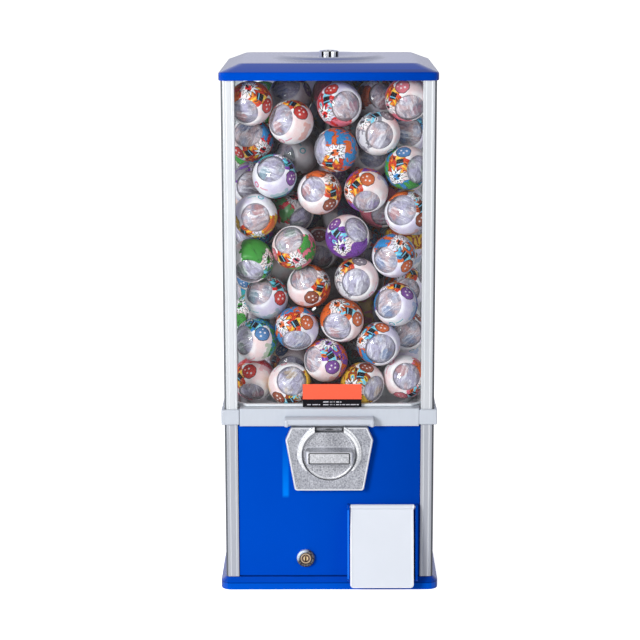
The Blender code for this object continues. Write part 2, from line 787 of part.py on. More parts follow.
def build_mech_housing():
    """The block behind the face: carrier pocket, shaft bore, coin outlet and screw holes."""
    front = PANEL_FRONT
    back = -0.1085
    housing = block(
        "coin_mech_housing", (-0.038, front, 0.132), (0.038, back, 0.1975), "die_cast_zinc"
    )
    soften(housing, 0.001, 1)
    pocket_floor = -0.1165
    centre = (0, pocket_floor - 0.005, DIAL_HEIGHT)
    pocket = rod("carrier_pocket", centre, CARRIER_RADIUS + 0.0005, 0.010, None, "Y", FINE)
    bore = rod("housing_bore", (0, back, DIAL_HEIGHT), SHAFT_RADIUS + 0.0005, 0.03, None, "Y")
    outlet = block("coin_outlet", (-0.016, -0.119, 0.131), (0.016, -0.112, 0.150))
    combine(housing, [pocket, bore, outlet])
    pieces = [housing]
    for side, word in ((-1, "left"), (1, "right")):
        hole = (side * 0.032, back, 0.139)
        combine(housing, [rod(f"housing_screw_hole_{word}", hole, 0.0023, 0.05, None, "Y")])
        profile = [
            (0, 0.003),
            (0.003, 0.003),
            (0.0042, 0.0018),
            (0.0042, 0),
            (0.002, 0),
            (0.002, -0.0175),
            (0, -0.0175),
        ]
        name = f"mech_clamp_screw_{word}"
        place_at = (side * 0.032, back + GAP, 0.139)
        screw = turned(name, profile, "plated_steel", place_at, "Y", sides=12)
        screw.rotation_euler.x = -pi / 2
        pieces.append(screw)
    return pieces


def gear_outline():
    """Trapezoid teeth round the drive gear, one pointing up."""
    points = []
    for tooth in range(GEAR_TEETH):
        angle = pi / 2 + 2 * pi * tooth / GEAR_TEETH
        outward = Vector((cos(angle), sin(angle)))
        across = Vector((-sin(angle), cos(angle)))
        corners = [(-0.0025, GEAR_ROOT), (-0.0011, GEAR_TIP), (0.0011, GEAR_TIP), (0.0025, GEAR_ROOT)]
        for offset, radius in corners:
            points.append(tuple(outward * radius + across * offset))
    return points


def build_dial():
    """The turning group: dial with its handle bar, shaft, coin carrier, drive gear and screw."""
    axis = (0, DIAL_HEIGHT)
    disc = circle(DIAL_RADIUS, FINE)
    disc_front = MECH_FRONT + 0.001
    dial = plate("coin_dial_handle", [disc], disc_front, -0.127, "die_cast_zinc", "Y", axis)
    low = (-0.030, -0.152, DIAL_HEIGHT - 0.008)
    high = (0.030, -0.130, DIAL_HEIGHT + 0.008)
    bar = soften(block("handle_bar", low, high), 0.003)
    notch_low = (-COIN_SLOT_HALF, -0.160, COIN_SLOT_BOTTOM)
    notch = block("dial_notch", notch_low, (COIN_SLOT_HALF, -0.120, 0.21))
    bore_centre = (0, -0.131, DIAL_HEIGHT)
    bore = rod("dial_bore", bore_centre, SHAFT_RADIUS + 0.0003, 0.010, None, "Y")
    combine(dial, [bar], "UNION")
    combine(dial, [notch, bore])

    shaft_profile = [
        (0, -0.104),
        (0.0023, -0.104),
        (0.0023, -0.0945),
        (SHAFT_RADIUS, -0.0945),
        (SHAFT_RADIUS, -0.1355),
        (0, -0.1355),
    ]
    shaft = turned("coin_mech_shaft", shaft_profile, "plated_steel", (0, 0, DIAL_HEIGHT), "Y")
    shaft.rotation_euler.x = -pi / 2

    bore_outline = circle(SHAFT_RADIUS + GAP)
    carrier_disc = circle(CARRIER_RADIUS, FINE)
    carrier = plate(
        "coin_carrier", [carrier_disc, bore_outline], -0.1217, -0.117, "plated_steel", "Y", axis
    )
    pocket = block("carrier_notch", (-0.013, -0.125, 0.1895), (0.013, -0.110, 0.21))
    combine(carrier, [pocket])

    gear = plate(
        "drive_gear", [gear_outline(), bore_outline], GEAR_FRONT, GEAR_BACK, "plated_steel", "Y", axis
    )
    screw_profile = [
        (0, -0.0905),
        (0.005, -0.0905),
        (0.007, -0.092),
        (0.007, -0.0937),
        (0.002, -0.0937),
        (0.002, -0.1035),
        (0, -0.1035),
    ]
    screw = turned("drive_gear_screw", screw_profile, "plated_steel", (0, 0, DIAL_HEIGHT), "Y")
    screw.rotation_euler.x = -pi / 2
    pieces = [dial, shaft, carrier, gear, screw]
    empty = axis_empty("dial_axis", (0, MECH_FRONT, DIAL_HEIGHT))
    hang(pieces, empty)
    return empty


def build_cash_box():
    """The open coin box hung on the back of the service panel."""
    wall = PANEL_SHEET
    low = Vector((-0.100, -0.119, 0.062))
    high = Vector((0.020, -0.062, 0.120))
    box = block("cash_box", low, high, "plated_steel")
    inset = Vector((wall, wall, wall))
    rim = high - Vector((wall, wall, -0.002))
    return combine(box, [block("cash_hollow", low + inset, rim)])


def build_cam_lock():
    """The lower lock: chrome body and nut on the panel, plug and cam that turn."""
    place_at = (CAM_LOCK_X, 0, CAM_LOCK_Z)
    head_back = PANEL_FRONT - GAP
    body_profile = [
        (0.0072, -0.1048),
        (0.0085, -0.1048),
        (0.0085, head_back),
        (0.0108, head_back),
        (0.0108, head_back - 0.0035),
        (0.0096, head_back - 0.0047),
        (0.0078, head_back - 0.0047),
        (0.0072, head_back - 0.0040),
    ]
    body = turned("cam_lock_body", body_profile, "chrome", place_at, "Y", closed=True)
    plug_profile = [
        (0, -0.1015),
        (0.0025, -0.1015),
        (0.0025, -0.1055),
        (0.0069, -0.1055),
        (0.0069, head_back - 0.0036),
        (0, head_back - 0.0036),
    ]
    plug = turned("cam_lock_plug", plug_profile, "brass", place_at, "Y")
    for piece in (body, plug):
        piece.rotation_euler.x = -pi / 2
    keyway_low = (CAM_LOCK_X - 0.0009, -0.130, CAM_LOCK_Z - 0.0045)
    keyway_high = (CAM_LOCK_X + 0.0009, -0.115, CAM_LOCK_Z + 0.0045)
    combine(plug, [block("keyway", keyway_low, keyway_high)])

    nut_lines = [hexagon(0.027), circle(0.0088)]
    nut_front = PANEL_FRONT + PANEL_SHEET + GAP
    nut = plate(
        "cam_lock_nut",
        nut_lines,
        nut_front,
        nut_front + 0.006,
        "plated_steel",
        "Y",
        (CAM_LOCK_X, CAM_LOCK_Z),
    )
    arm_half = 0.006
    arm_end = 0.030
    arm = rounded(
        [
            (-arm_half, -arm_half, 0.005),
            (arm_end, -arm_half, 0.003),
            (arm_end, arm_half, 0.003),
            (-arm_half, arm_half, 0.005),
        ]
    )
    cam = plate(
        "cam_lock_cam",
        [arm, circle(0.0028, 12)],
        -0.1045,
        -0.1025,
        "plated_steel",
        "Y",
        (CAM_LOCK_X, CAM_LOCK_Z),
    )
    empty = axis_empty("cam_lock_axis", (CAM_LOCK_X, PANEL_FRONT, CAM_LOCK_Z))
    hang([plug, cam], empty)
    return [body, nut, empty]


def build_chute_frame():
    """Two wedge cheeks and a sill that carry the flap's pin."""
    back = PANEL_FRONT - GAP
    cheek = rounded(
        [(back, 0.015, 0), (-0.1436, 0.015, 0.002), (-0.1315, 0.1055, 0.003), (back, 0.1055, 0)]
    )
    frame = plate("chute_frame", [cheek], 0.0215, 0.0242, "blue_paint", "X")
    right = plate("frame_right_cheek", [cheek], 0.1024, 0.1052, facing="X")
    sill = block("frame_sill", (0.023, -0.1432, 0.0152), (0.1035, back - 0.0002, 0.0166))
    holes = rod("frame_pin_holes", (0.0633, FLAP_AXIS_Y, FLAP_AXIS_Z), 0.0018, 0.1, None, "X")
    combine(frame, [sill, right], "UNION")
    combine(frame, [holes])
    return frame


def build_flap():
    """The flap, a tilted plate with a rolled top edge on a pin."""
    middle = (FLAP_LEFT + FLAP_RIGHT) / 2
    half = (FLAP_RIGHT - FLAP_LEFT) / 2
    corners = [
        (-half, -FLAP_LENGTH, 0.004),
        (half, -FLAP_LENGTH, 0.004),
        (half, 0, 0.001),
        (-half, 0, 0.001),
    ]
    flap = plate("chute_flap", [rounded(corners)], -0.0016, 0.001, "white_plastic", "Y")
    flap.location = (middle, FLAP_AXIS_Y, FLAP_AXIS_Z)
    flap.rotation_euler.x = pi / 2 - FLAP_TILT
    roll_centre = (middle, FLAP_AXIS_Y, FLAP_AXIS_Z)
    roll = rod("flap_roll", roll_centre, 0.0031, FLAP_RIGHT - FLAP_LEFT - 0.0006, None, "X")
    pin_hole = rod("flap_pin_hole", roll_centre, 0.0018, 0.1, None, "X")
    combine(flap, [roll], "UNION")
    combine(flap, [pin_hole])
    empty = axis_empty("flap_axis", (middle, FLAP_AXIS_Y, FLAP_AXIS_Z))
    hang([flap], empty)
    pin = rod("flap_hinge_pin", roll_centre, 0.0015, 0.0838, "plated_steel", "X", 16)
    return [pin, empty]


def build_service_group():
    """Everything that comes away with the service panel."""
    empty = axis_empty("service_panel_slide", (0, PANEL_FRONT, PANEL_BOTTOM))
    pieces = [build_service_panel(), build_mech_plate(), build_cash_box(), build_chute_frame()]
    pieces += build_mech_housing()
    pieces += build_cam_lock()
    pieces += build_flap()
    pieces.append(build_dial())
    hang(pieces, empty)


# ---------------------------------------------------------------- lid


def emboss_height(radius):
    """How far the pressed ring stands over the flat of the lid."""
    if radius > EMBOSS_CREST_RADIUS:
        share = (EMBOSS_RADIUS - radius) / (EMBOSS_RADIUS - EMBOSS_CREST_RADIUS)
        return EMBOSS_CREST * (1 - cos(pi * share)) / 2 - 0.0001
    share = radius / EMBOSS_CREST_RADIUS
    rise = EMBOSS_CREST - EMBOSS_CENTRE_RISE
    return EMBOSS_CENTRE_RISE + rise * (1 - cos(pi * share)) / 2


def build_lid():
    """The pressed lid with its turned ring and the lock's hole."""
    sections = [
        (LID_HALF, LID_CORNER, LID_BOTTOM),
        (LID_HALF, LID_CORNER, LID_LIP_TOP),
        (LID_FLAT_HALF, LID_FLAT_CORNER, LID_TOP),
    ]
    lid = lofted_shell("lid", sections, "blue_paint")
    steps = 10
    radii = [EMBOSS_RADIUS * i / steps for i in range(steps + 1)]
    profile = [(radius, LID_TOP + emboss_height(radius)) for radius in radii]
    under = LID_TOP - 0.0008
    profile += [(EMBOSS_RADIUS, under), (0, under)]
    ring = turned("lid_emboss", profile, sides=36)
    combine(lid, [ring], "UNION")
    combine(lid, [rod("lid_lock_hole", (0, 0, LID_TOP), 0.010, 0.03)])
    return lid


def build_lid_lock():
    """The barrel lock in the middle of the lid: body and nut, plug and T-bar that turn."""
    seat = LID_TOP + EMBOSS_CENTRE_RISE + 2 * GAP
    body_profile = [
        (0.0069, LID_LOCK_TOP - 0.0006),
        (0.0076, LID_LOCK_TOP),
        (0.0106, LID_LOCK_TOP),
        (0.0120, LID_LOCK_TOP - 0.0014),
        (0.0120, seat),
        (0.0095, seat),
        (0.0095, 0.612),
        (0.0069, 0.612),
    ]
    body = turned("lid_lock_body", body_profile, "chrome", closed=True)
    nut_lines = [hexagon(0.027), circle(0.0098)]
    nut = plate("lid_lock_nut", nut_lines, 0.6188, LID_TOP - SHEET - GAP, "plated_steel")
    plug_profile = [
        (0, LID_LOCK_TOP - 0.0012),
        (0.0065, LID_LOCK_TOP - 0.0012),
        (0.0065, 0.6115),
        (0.0025, 0.6115),
        (0.0025, 0.5985),
        (0, 0.5985),
    ]
    plug = turned("lid_lock_plug", plug_profile, "brass")
    keyway = block("lid_keyway", (-0.0045, -0.0009, 0.625), (0.0045, 0.0009, 0.637))
    combine(plug, [keyway])
    bar = rectangle(-0.010, 0.010, -0.0032, 0.0032)
    cam = plate("lid_lock_cam", [bar, circle(0.0028, 12)], 0.599, 0.602, "plated_steel")
    empty = axis_empty("lid_lock_axis", (0, 0, LID_TOP))
    hang([plug, cam], empty)
    return [body, nut, empty]


def build_lid_group():
    """Everything that lifts off with the lid."""
    empty = axis_empty("lid_slide", (0, 0, LID_BOTTOM))
    hang([build_lid(), *build_lid_lock()], empty)


# ---------------------------------------------------------------- the whole machine


def build_machine():
    """All pieces, from the base up."""
    build_base()
    build_posts()
    build_sleeves()
    build_rails()
    build_panes()
    build_label()
    build_rod()
    build_hopper_tray()
    build_wheel()
    build_wheel_fixings()
    build_chute()
    build_service_group()
    build_lid_group()
    build_capsule_load()


build_machine()
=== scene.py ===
import math
from math import atan2, cos, pi, radians, sin, sqrt, tan

import bmesh
import bpy
import numpy as np
from mathutils import Matrix, Vector


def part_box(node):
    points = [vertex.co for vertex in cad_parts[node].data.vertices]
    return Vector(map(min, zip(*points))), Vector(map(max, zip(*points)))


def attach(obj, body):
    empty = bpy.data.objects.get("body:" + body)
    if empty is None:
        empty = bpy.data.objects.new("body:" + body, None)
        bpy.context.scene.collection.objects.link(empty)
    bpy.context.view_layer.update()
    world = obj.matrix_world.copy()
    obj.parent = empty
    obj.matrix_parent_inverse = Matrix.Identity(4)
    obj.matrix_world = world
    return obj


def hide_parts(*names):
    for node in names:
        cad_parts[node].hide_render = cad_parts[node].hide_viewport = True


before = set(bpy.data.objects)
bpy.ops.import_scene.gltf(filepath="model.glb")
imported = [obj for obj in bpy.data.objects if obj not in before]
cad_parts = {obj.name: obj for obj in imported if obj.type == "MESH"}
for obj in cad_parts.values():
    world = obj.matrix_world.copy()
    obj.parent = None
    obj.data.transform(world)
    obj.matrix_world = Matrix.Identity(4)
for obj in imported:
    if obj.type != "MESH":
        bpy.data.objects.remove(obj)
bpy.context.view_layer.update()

MM = 0.001
TINY = 1e-6  # keeps a division away from zero
FAR = 1e6
SCENE = bpy.context.scene

# ---------------------------------------------------------------- material helpers


def linear(red, green, blue):
    """A screen colour of 0 to 255 per channel, as the linear values a shader takes."""
    channels = []
    for value in (red, green, blue):
        share = value / 255
        channels.append(share / 12.92 if share <= 0.04045 else ((share + 0.055) / 1.055) ** 2.4)
    return (*channels, 1.0)


class Value:
    """A number inside a material, which arithmetic turns into Math nodes."""

    def __init__(self, tree, socket):
        self.tree = tree
        self.socket = socket

    def __add__(self, other):
        return self.tree.maths("ADD", self, other)

    def __radd__(self, other):
        return self.tree.maths("ADD", other, self)

    def __sub__(self, other):
        return self.tree.maths("SUBTRACT", self, other)

    def __rsub__(self, other):
        return self.tree.maths("SUBTRACT", other, self)

    def __mul__(self, other):
        return self.tree.maths("MULTIPLY", self, other)

    def __rmul__(self, other):
        return self.tree.maths("MULTIPLY", other, self)

    def __truediv__(self, other):
        return self.tree.maths("DIVIDE", self, other)

    def __abs__(self):
        return self.tree.maths("ABSOLUTE", self)

    def above(self, edge, soft=0.0):
        """1 where this is more than edge, with an optional soft step."""
        if soft == 0:
            return self.tree.maths("GREATER_THAN", self, edge)
        return self.tree.remap(self, edge - soft, edge + soft)

    def below(self, edge, soft=0.0):
        """1 where this is less than edge."""
        return 1 - self.above(edge, soft)

    def between(self, low, high, soft=0.0):
        """1 where this lies between two limits."""
        return self.above(low, soft) * self.below(high, soft)

    def power(self, exponent):
        """This raised to a power."""
        return self.tree.maths("POWER", self, exponent)

    def sine(self):
        """The sine of this, for stripes and bars."""
        return self.tree.maths("SINE", self)

    def fraction(self):
        """What is left above a whole number, for repeats."""
        return self.tree.maths("FRACT", self)


class Tree:
    """The nodes of one material, or of the world, with short names for those used most."""

    def __init__(self, name, owners=bpy.data.materials):
        self.owner = owners.new(name)
        self.owner.use_nodes = True
        self.nodes = self.owner.node_tree.nodes
        self.links = self.owner.node_tree.links
        self.nodes.clear()

    def feed(self, socket, value):
        """Put a number, a screen colour of three numbers, a Value or a socket on an input."""
        if isinstance(value, Value):
            value = value.socket
        if isinstance(value, tuple) and len(value) == 3:
            value = linear(*value)
        if isinstance(value, bpy.types.NodeSocket):
            self.links.new(value, socket)
        elif value is not None:
            socket.default_value = value

    def node(self, kind, inputs=None, **settings):
        """Add a node with its settings and inputs."""
        made = self.nodes.new("ShaderNode" + kind)
        for key, value in settings.items():
            setattr(made, key, value)
        for key, value in (inputs or {}).items():
            self.feed(made.inputs[key], value)
        return made

    def maths(self, operation, first, second=None):
        """One Math node."""
        made = self.node("Math", {0: first, 1: second}, operation=operation)
        return Value(self, made.outputs[0])

    def remap(self, value, low, high, new_low=0.0, new_high=1.0):
        """A clamped straight-line change of range."""
        inputs = dict(enumerate((value, low, high, new_low, new_high)))
        return Value(self, self.node("MapRange", inputs, clamp=True).outputs[0])

    def mix(self, share, first, second):
        """A blend of two colours."""
        return self.node("Mix", {0: share, 6: first, 7: second}, data_type="RGBA").outputs[2]

    def position(self):
        """Where the shaded point is at rest, in metres: the mesh's own coordinates."""
        return self.node("TexCoord").outputs["Object"]

    def attribute(self, name, output="Fac"):
        """A value stored on the points of a mesh."""
        return self.node("Attribute", attribute_name=name).outputs[output]

    def number(self, name):
        """A stored number, as a Value."""
        return Value(self, self.attribute(name))

    def facing(self):
        """0 face on to 1 at a grazing angle."""
        return Value(self, self.node("LayerWeight", {"Blend": 0.5}).outputs["Facing"])

    def rough(self, grain, low, high):
        """A roughness that follows a noise."""
        return self.remap(grain, 0.3, 0.7, low, high)

    def glossy(self, roughness, normal):
        """A mirror-like reflection."""
        return self.node("BsdfGlossy", {"Roughness": roughness, "Normal": normal}).outputs[0]

    def split(self, vector):
        """The three coordinates of a vector, as Values."""
        parts = self.node("SeparateXYZ", {0: vector})
        return [Value(self, parts.outputs[axis]) for axis in range(3)]

    def scaled(self, vector, scale):
        """A vector stretched along its axes, for a grain that runs one way."""
        made = self.node("Mapping", vector_type="POINT")
        self.feed(made.inputs["Vector"], vector)
        made.inputs["Scale"].default_value = scale
        return made.outputs[0]

    def noise(self, vector, scale, detail=3.0, roughness=0.5, distortion=0.0):
        """A cloudy noise around 0.5."""
        made = self.node("TexNoise", {"Vector": vector, "Scale": scale, "Detail": detail,
                                      "Roughness": roughness, "Distortion": distortion})
        return Value(self, made.outputs[0])

    def bump(self, height, distance, strength=1.0, under=None):
        """A surface normal tilted by a height."""
        inputs = {"Height": height, "Distance": distance, "Strength": strength, "Normal": under}
        return self.node("Bump", inputs).outputs[0]

    def principled(self, colour, roughness, normal=None, **more):
        """A plain surface; more inputs are given by name, with _ for a space."""
        inputs = {"Base Color": colour, "Roughness": roughness, "Normal": normal}
        for key, value in more.items():
            inputs[key.replace("_", " ")] = value
        return self.node("BsdfPrincipled", inputs).outputs[0]

    def blend(self, share, first, second):
        """A blend of two shaders."""
        return self.node("MixShader", {0: share, 1: first, 2: second}).outputs[0]

    def done(self, surface):
        """The finished material."""
        self.node("OutputMaterial", {"Surface": surface})
        return self.owner

    def solid(self, colour, grain, low, high, bump, metallic=0.0):
        """A finished material of one colour layer, its roughness from low to high with a grain."""
        normal = self.bump(grain, *bump)
        surface = self.principled(colour, self.rough(grain, low, high), normal, Metallic=metallic)
        return self.done(surface)


# ---------------------------------------------------------------- materials
# Places in a material are in metres in the machine's frame: x right, y back, z up.


def blue_paint():
    """Gloss powder coat: deep blue face on, mirror-like at a grazing angle."""
    tree = Tree("blue_paint")
    place = tree.position()
    cloud = tree.noise(place, 6, 2)
    peel = tree.noise(place, 900, 2)
    x, y, z = tree.split(place)
    colour = tree.mix(cloud, (0, 62, 172), (0, 77, 194))
    # Painted shade: the front is darker towards the right, for the shadow beside the coin mechanism
    # with light from the left.
    shaded = tree.remap(x, -0.03, 0.10) * y.below(-0.118)
    colour = tree.mix(shaded * 0.75, colour, (0, 52, 148))
    # A painted reflection: a soft upright streak of light on the front panel, left of the coin
    # mechanism, thrown back from the mechanism's side.
    column = x.between(-0.0555, -0.0485, 0.0012) * y.between(-0.1225, -0.1195)
    column = column * tree.remap(z, 0.112, 0.116) * tree.remap(z, 0.190, 0.118, 0.0, 1.0)
    colour = tree.mix(column * 0.8, colour, (0, 128, 240))
    # Painted light and shade: the base's skirt is a little brighter under a painted dark line of
    # shade at its bend.
    skirt = y.below(-0.1215) * z.below(0.0084)
    colour = tree.mix(skirt * 0.8, colour, (0, 82, 196))
    bend = y.below(-0.1215) * z.between(0.0078, 0.0092, 0.0003)
    colour = tree.mix(bend * 0.55, colour, (0, 22, 72))
    facing = tree.facing()
    # A bright painted highlight on the edge of the chute's left cheek, and a dull painted
    # reflection low across the lid's ring, seen at grazing angles.
    cheek_highlight = x.between(0.0212, 0.0231) * y.below(-0.1245) * z.between(0.018, 0.100)
    colour = tree.mix(cheek_highlight * 0.75, colour, (36, 130, 250))
    reach = (x * x + y * y).power(0.5)
    ring = reach.between(0.056, 0.074, 0.003) * y.below(-0.004, 0.004) * z.above(0.6262)
    colour = tree.mix(ring * facing.between(0.62, 2, 0.12) * 0.7, colour, (160, 162, 158))
    normal = tree.bump(peel, 0.00006, 0.35)
    body = tree.principled(colour, tree.rough(cloud, 0.32, 0.42), normal,
                           Specular_IOR_Level=0.0)
    mirror = tree.glossy(0.16, normal)
    share = tree.remap(facing.power(2.8) * 1.1, 0, 1)
    return tree.done(tree.blend(share, body, mirror))


def post_metal():
    """Bright extruded post: fine upright lines, painted shade to the right, painted dark corners
    and highlights.
    """
    tree = Tree("post_metal")
    place = tree.position()
    x, y, z = tree.split(place)
    streak = tree.noise(tree.scaled(place, (60, 60, 1)), 40, 3)
    cloud = tree.noise(place, 9, 2)
    colour = tree.mix(streak * 0.6 + cloud * 0.4, (196, 200, 205), (214, 217, 221))
    # Painted shade: further right, the posts are painted darker, as the light comes from the left.
    colour = tree.mix(tree.remap(x, -0.06, 0.06) * 0.5, colour, (178, 181, 188))
    colour = tree.mix(z.below(0.2080) * 0.8, colour, (158, 161, 171))
    # Painted light by how a face turns: dark reflections on the rounded outer corners, highlights
    # on the other turned faces.
    across = tree.split(tree.node("NewGeometry").outputs["True Normal"])
    turned_face_shading = abs(across[0]).between(0.25, 0.97) * abs(across[1]).between(0.1, 0.97)
    at_corner = abs(x).above(0.1195) * abs(y).above(0.1195)
    colour = tree.mix(turned_face_shading * at_corner * 0.9, colour, (58, 60, 68))
    colour = tree.mix(turned_face_shading * (1 - at_corner) * 0.5, colour, (232, 235, 238))
    lines = ((x + y * 1.7) * 620).sine().above(0.8, 0.1)
    colour = tree.mix(lines * 0.12, colour, (150, 162, 168))
    normal = tree.bump(streak, 0.00008, 0.3)
    rough = tree.rough(cloud, 0.26, 0.38)
    return tree.done(tree.principled(colour, rough, normal, Metallic=0.15))


def flap_rim_highlight(x, _y, z):
    """The flap's rim, painted bright as a highlight where its edge catches the light."""
    low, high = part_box("chute_flap")
    sides = x.below(low.x + 0.0012) + x.above(high.x - 0.0026)
    return (sides + z.below(low.z + 0.0018)) * 0.7


def pale_metal(name, light, dark, roughness=0.36, metallic=0.25, grain=(1, 1, 60), highlight_and_pale_finish=None):
    """Satin metal or pale enamel with a fine grain along one axis, and painted highlights."""
    tree = Tree(name)
    place = tree.position()
    streak = tree.noise(tree.scaled(place, grain), 40, 3)
    cloud = tree.noise(place, 9, 2)
    colour = tree.mix(streak * 0.6 + cloud * 0.4, dark, light)
    # Painted highlights, such as on the flap's rim.
    if highlight_and_pale_finish is not None:
        colour = tree.mix(highlight_and_pale_finish(*tree.split(place)), colour, (244, 247, 252))
    normal = tree.bump(streak, 0.00008, 0.3)
    rough = tree.rough(cloud, roughness - 0.06, roughness + 0.06)
    return tree.done(tree.principled(colour, rough, normal, Metallic=metallic))


def die_cast(name, light, dark, roughness=0.38, metallic=0.6, speck=520, marks=None, highlight_and_pale_finish=None):
    """Cast zinc: fine speckle, soft dents, painted edge highlights, painted shade in hollows and
    brighter places.
    """
    tree = Tree(name)
    place = tree.position()
    fine = tree.noise(place, speck, 4, 0.65)
    broad = tree.noise(place, 45, 3)
    tone = tree.remap(fine * 0.75 + broad * 0.25, 0.38, 0.62)
    colour = tree.mix(tone, dark, light)
    # Painted highlights on bevelled edges, turned partly sideways.
    across = tree.split(tree.node("NewGeometry").outputs["True Normal"])
    edge = abs(across[1]).between(0.12, 0.93, 0.03)
    colour = tree.mix(edge * 0.7, colour, (246, 247, 250))
    # Brighter places: a painted highlight on the shield's rim, and the paler front panel of the
    # handle.
    if highlight_and_pale_finish is not None:
        colour = tree.mix(highlight_and_pale_finish(*tree.split(place)), colour, (250, 251, 253))
    # Painted shade in the coin slot, in the groove on the handle and in the slit of the slot's bar.
    if marks is not None:
        colour = tree.mix(marks(*tree.split(place)), colour, (24, 26, 31))
    normal = tree.bump(fine, 0.0005, 0.3, tree.bump(broad, 0.002, 0.2))
    rough = tree.remap(fine, 0.35, 0.65, roughness - 0.1, roughness + 0.12)
    return tree.done(tree.principled(colour, rough, normal, Metallic=metallic))


def handle_groove_shade(x, y, z):
    """The groove round the panel on the front of the handle, painted dark as shade."""
    inside = abs(x).below(0.0245) * abs(z - DIAL_HEIGHT).below(0.0072)
    return inside * y.between(-0.15135, -0.1495) * 0.95


def slot_floor_shade(x, y, z):
    """The floor of the coin slot, painted dark as shade."""
    return abs(x).below(0.0174) * z.above(0.1946) * y.above(-0.1262) * 0.8


def shield_rim_highlight(_x, y, _z):
    """The raised rim round the shield, painted bright as a highlight."""
    return y.between(-0.1330, -0.13172) * 0.8


def handle_panel(x, y, z):
    """The front panel of the handle, a little paler than the rest."""
    return y.below(-0.1505) * abs(x).below(0.0229) * abs(z - DIAL_HEIGHT).below(0.0057) * 0.2


def bar_slit_shade(x, _y, z):
    """A small dark oval in the middle of the coin slot's bar, painted as the shade in its slit."""
    across = x / 0.0048
    along = (z - 0.1978) / 0.0009
    return (across * across + along * along).below(1) * 0.85


def lock_ring():
    """Dark plated ring of the panel's lock, with a painted highlight where it faces the upper left.
    """
    tree = Tree("lock_ring")
    place = tree.position()
    x, _y, z = tree.split(place)
    low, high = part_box("cam_lock_body")
    across = (x - (low.x + high.x) / 2) / 0.0099
    along = (z - (low.z + high.z) / 2) / 0.0099
    hair = tree.noise(place, 500, 3)
    # Painted highlight on the upper left side.
    lit = tree.remap(along * 0.7 - across * 0.75, 0.35, 0.8)
    colour = tree.mix(tree.remap(hair, 0.4, 0.6), (52, 50, 58), (112, 108, 112))
    colour = tree.mix(lit * 0.9, colour, (214, 228, 246))
    return tree.solid(colour, hair, 0.2, 0.4, (0.0001, 0.4), 0.7)


def lock_plug():
    """Turned brass plug: bright middle, dark band, tan ring and a dark edge."""
    tree = Tree("lock_plug")
    place = tree.position()
    x, _y, z = tree.split(place)
    low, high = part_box("cam_lock_body")
    across = x - (low.x + high.x) / 2
    along = z - (low.z + high.z) / 2
    reach = (across * across + along * along).power(0.5)
    hair = tree.noise(place, 600, 3)
    colour = tree.mix(reach.above(0.0029, 0.0003), (232, 204, 158), (78, 58, 56))
    colour = tree.mix(reach.above(0.0050, 0.0003), colour, (206, 184, 156))
    colour = tree.mix(reach.above(0.0061, 0.0003), colour, (44, 36, 38))
    colour = tree.mix(hair.above(0.55, 0.05) * 0.35, colour, (150, 124, 100))
    return tree.solid(colour, hair, 0.2, 0.38, (0.0001, 0.4), 0.6)


def lock_chrome():
    """Bright chrome with painted dark upright bars, for the studio reflections a round barrel
    shows.
    """
    tree = Tree("lock_chrome")
    place = tree.position()
    # Painted reflections: dark bars by the way the side turns.
    across = tree.split(tree.node("NewGeometry").outputs["Normal"])
    side = abs(across[2]).below(0.6)
    bars = (across[0] * 9.2 + 0.6).sine().above(0.15, 0.25) * side
    hair = tree.noise(tree.scaled(place, (1, 1, 8)), 300, 4)
    colour = tree.mix(bars, (238, 240, 244), (26, 27, 32))
    return tree.solid(colour, hair, 0.06, 0.16, (0.00003, 0.3), 1.0)


def polished(name, colour, roughness=0.08):
    """Bright plated metal with hairline marks."""
    tree = Tree(name)
    place = tree.position()
    hair = tree.noise(tree.scaled(place, (1, 1, 8)), 300, 4)
    tone = tree.mix(tree.noise(place, 60, 2), colour, tuple(c * 0.9 for c in colour))
    return tree.solid(tone, hair, roughness * 0.6, roughness * 1.6, (0.00003, 0.3), 1.0)


def moulded(name, light, dark, roughness=0.42):
    """Moulded plastic with a faint texture."""
    tree = Tree(name)
    place = tree.position()
    cloud = tree.noise(place, 14, 3)
    grain = tree.noise(place, 700, 2)
    colour = tree.mix(cloud, dark, light)
    return tree.solid(colour, grain, roughness - 0.06, roughness + 0.08, (0.0001, 0.3))


def clear_pane(name, tint, shine=0.24, haze=0.006):
    """Thin clear sheet: what is behind shows through, with a faint reflection."""
    tree = Tree(name)
    place = tree.position()
    smear = tree.noise(tree.scaled(place, (1, 1, 0.3)), 20, 3)
    normal = tree.bump(tree.noise(place, 3, 1), 0.0006, 0.3)
    through = tree.node("BsdfTransparent", {"Color": tint}).outputs[0]
    mirror = tree.glossy(tree.rough(smear, 0.02, 0.07), normal)
    dust = tree.node("BsdfDiffuse", {"Color": (230, 232, 236)}).outputs[0]
    surface = tree.blend(smear * haze, through, dust)
    fresnel = Value(tree, tree.node("Fresnel", {"IOR": 1.45, "Normal": normal}).outputs[0])
    share = tree.remap(fresnel * shine, 0, 1)
    made = tree.done(tree.blend(share, surface, mirror))
    made.use_transparent_shadow = True
    return made


def label_print():
    """Coral label over a black strip with two rows of plain pale bars."""
    tree = Tree("label_print")
    place = tree.position()
    x, _y, z = tree.split(place)
    low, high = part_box("window_label")
    across = (x - low.x) / (high.x - low.x)
    along = (z - low.z) / (high.z - low.z)
    fibre = tree.noise(place, 900, 3)
    coral = tree.mix(fibre, (232, 88, 62), (244, 104, 76))
    bars = tree.maths("SNAP", x, 0.0009) * 613.7
    ink = (bars.sine() * 43.7).fraction().above(0.3)
    first_row = along.between(0.20, 0.245) * across.between(0.34, 0.67)
    second_row = along.between(0.08, 0.125) * across.between(0.05, 0.96)
    black = tree.mix(ink * (first_row + second_row), (10, 8, 15), (186, 186, 194))
    colour = tree.mix(along.below(0.34), coral, black)
    rough = tree.rough(fibre, 0.42, 0.6)
    normal = tree.bump(fibre, 0.00004, 0.3)
    return tree.done(tree.principled(colour, rough, normal, Specular_IOR_Level=0.12))


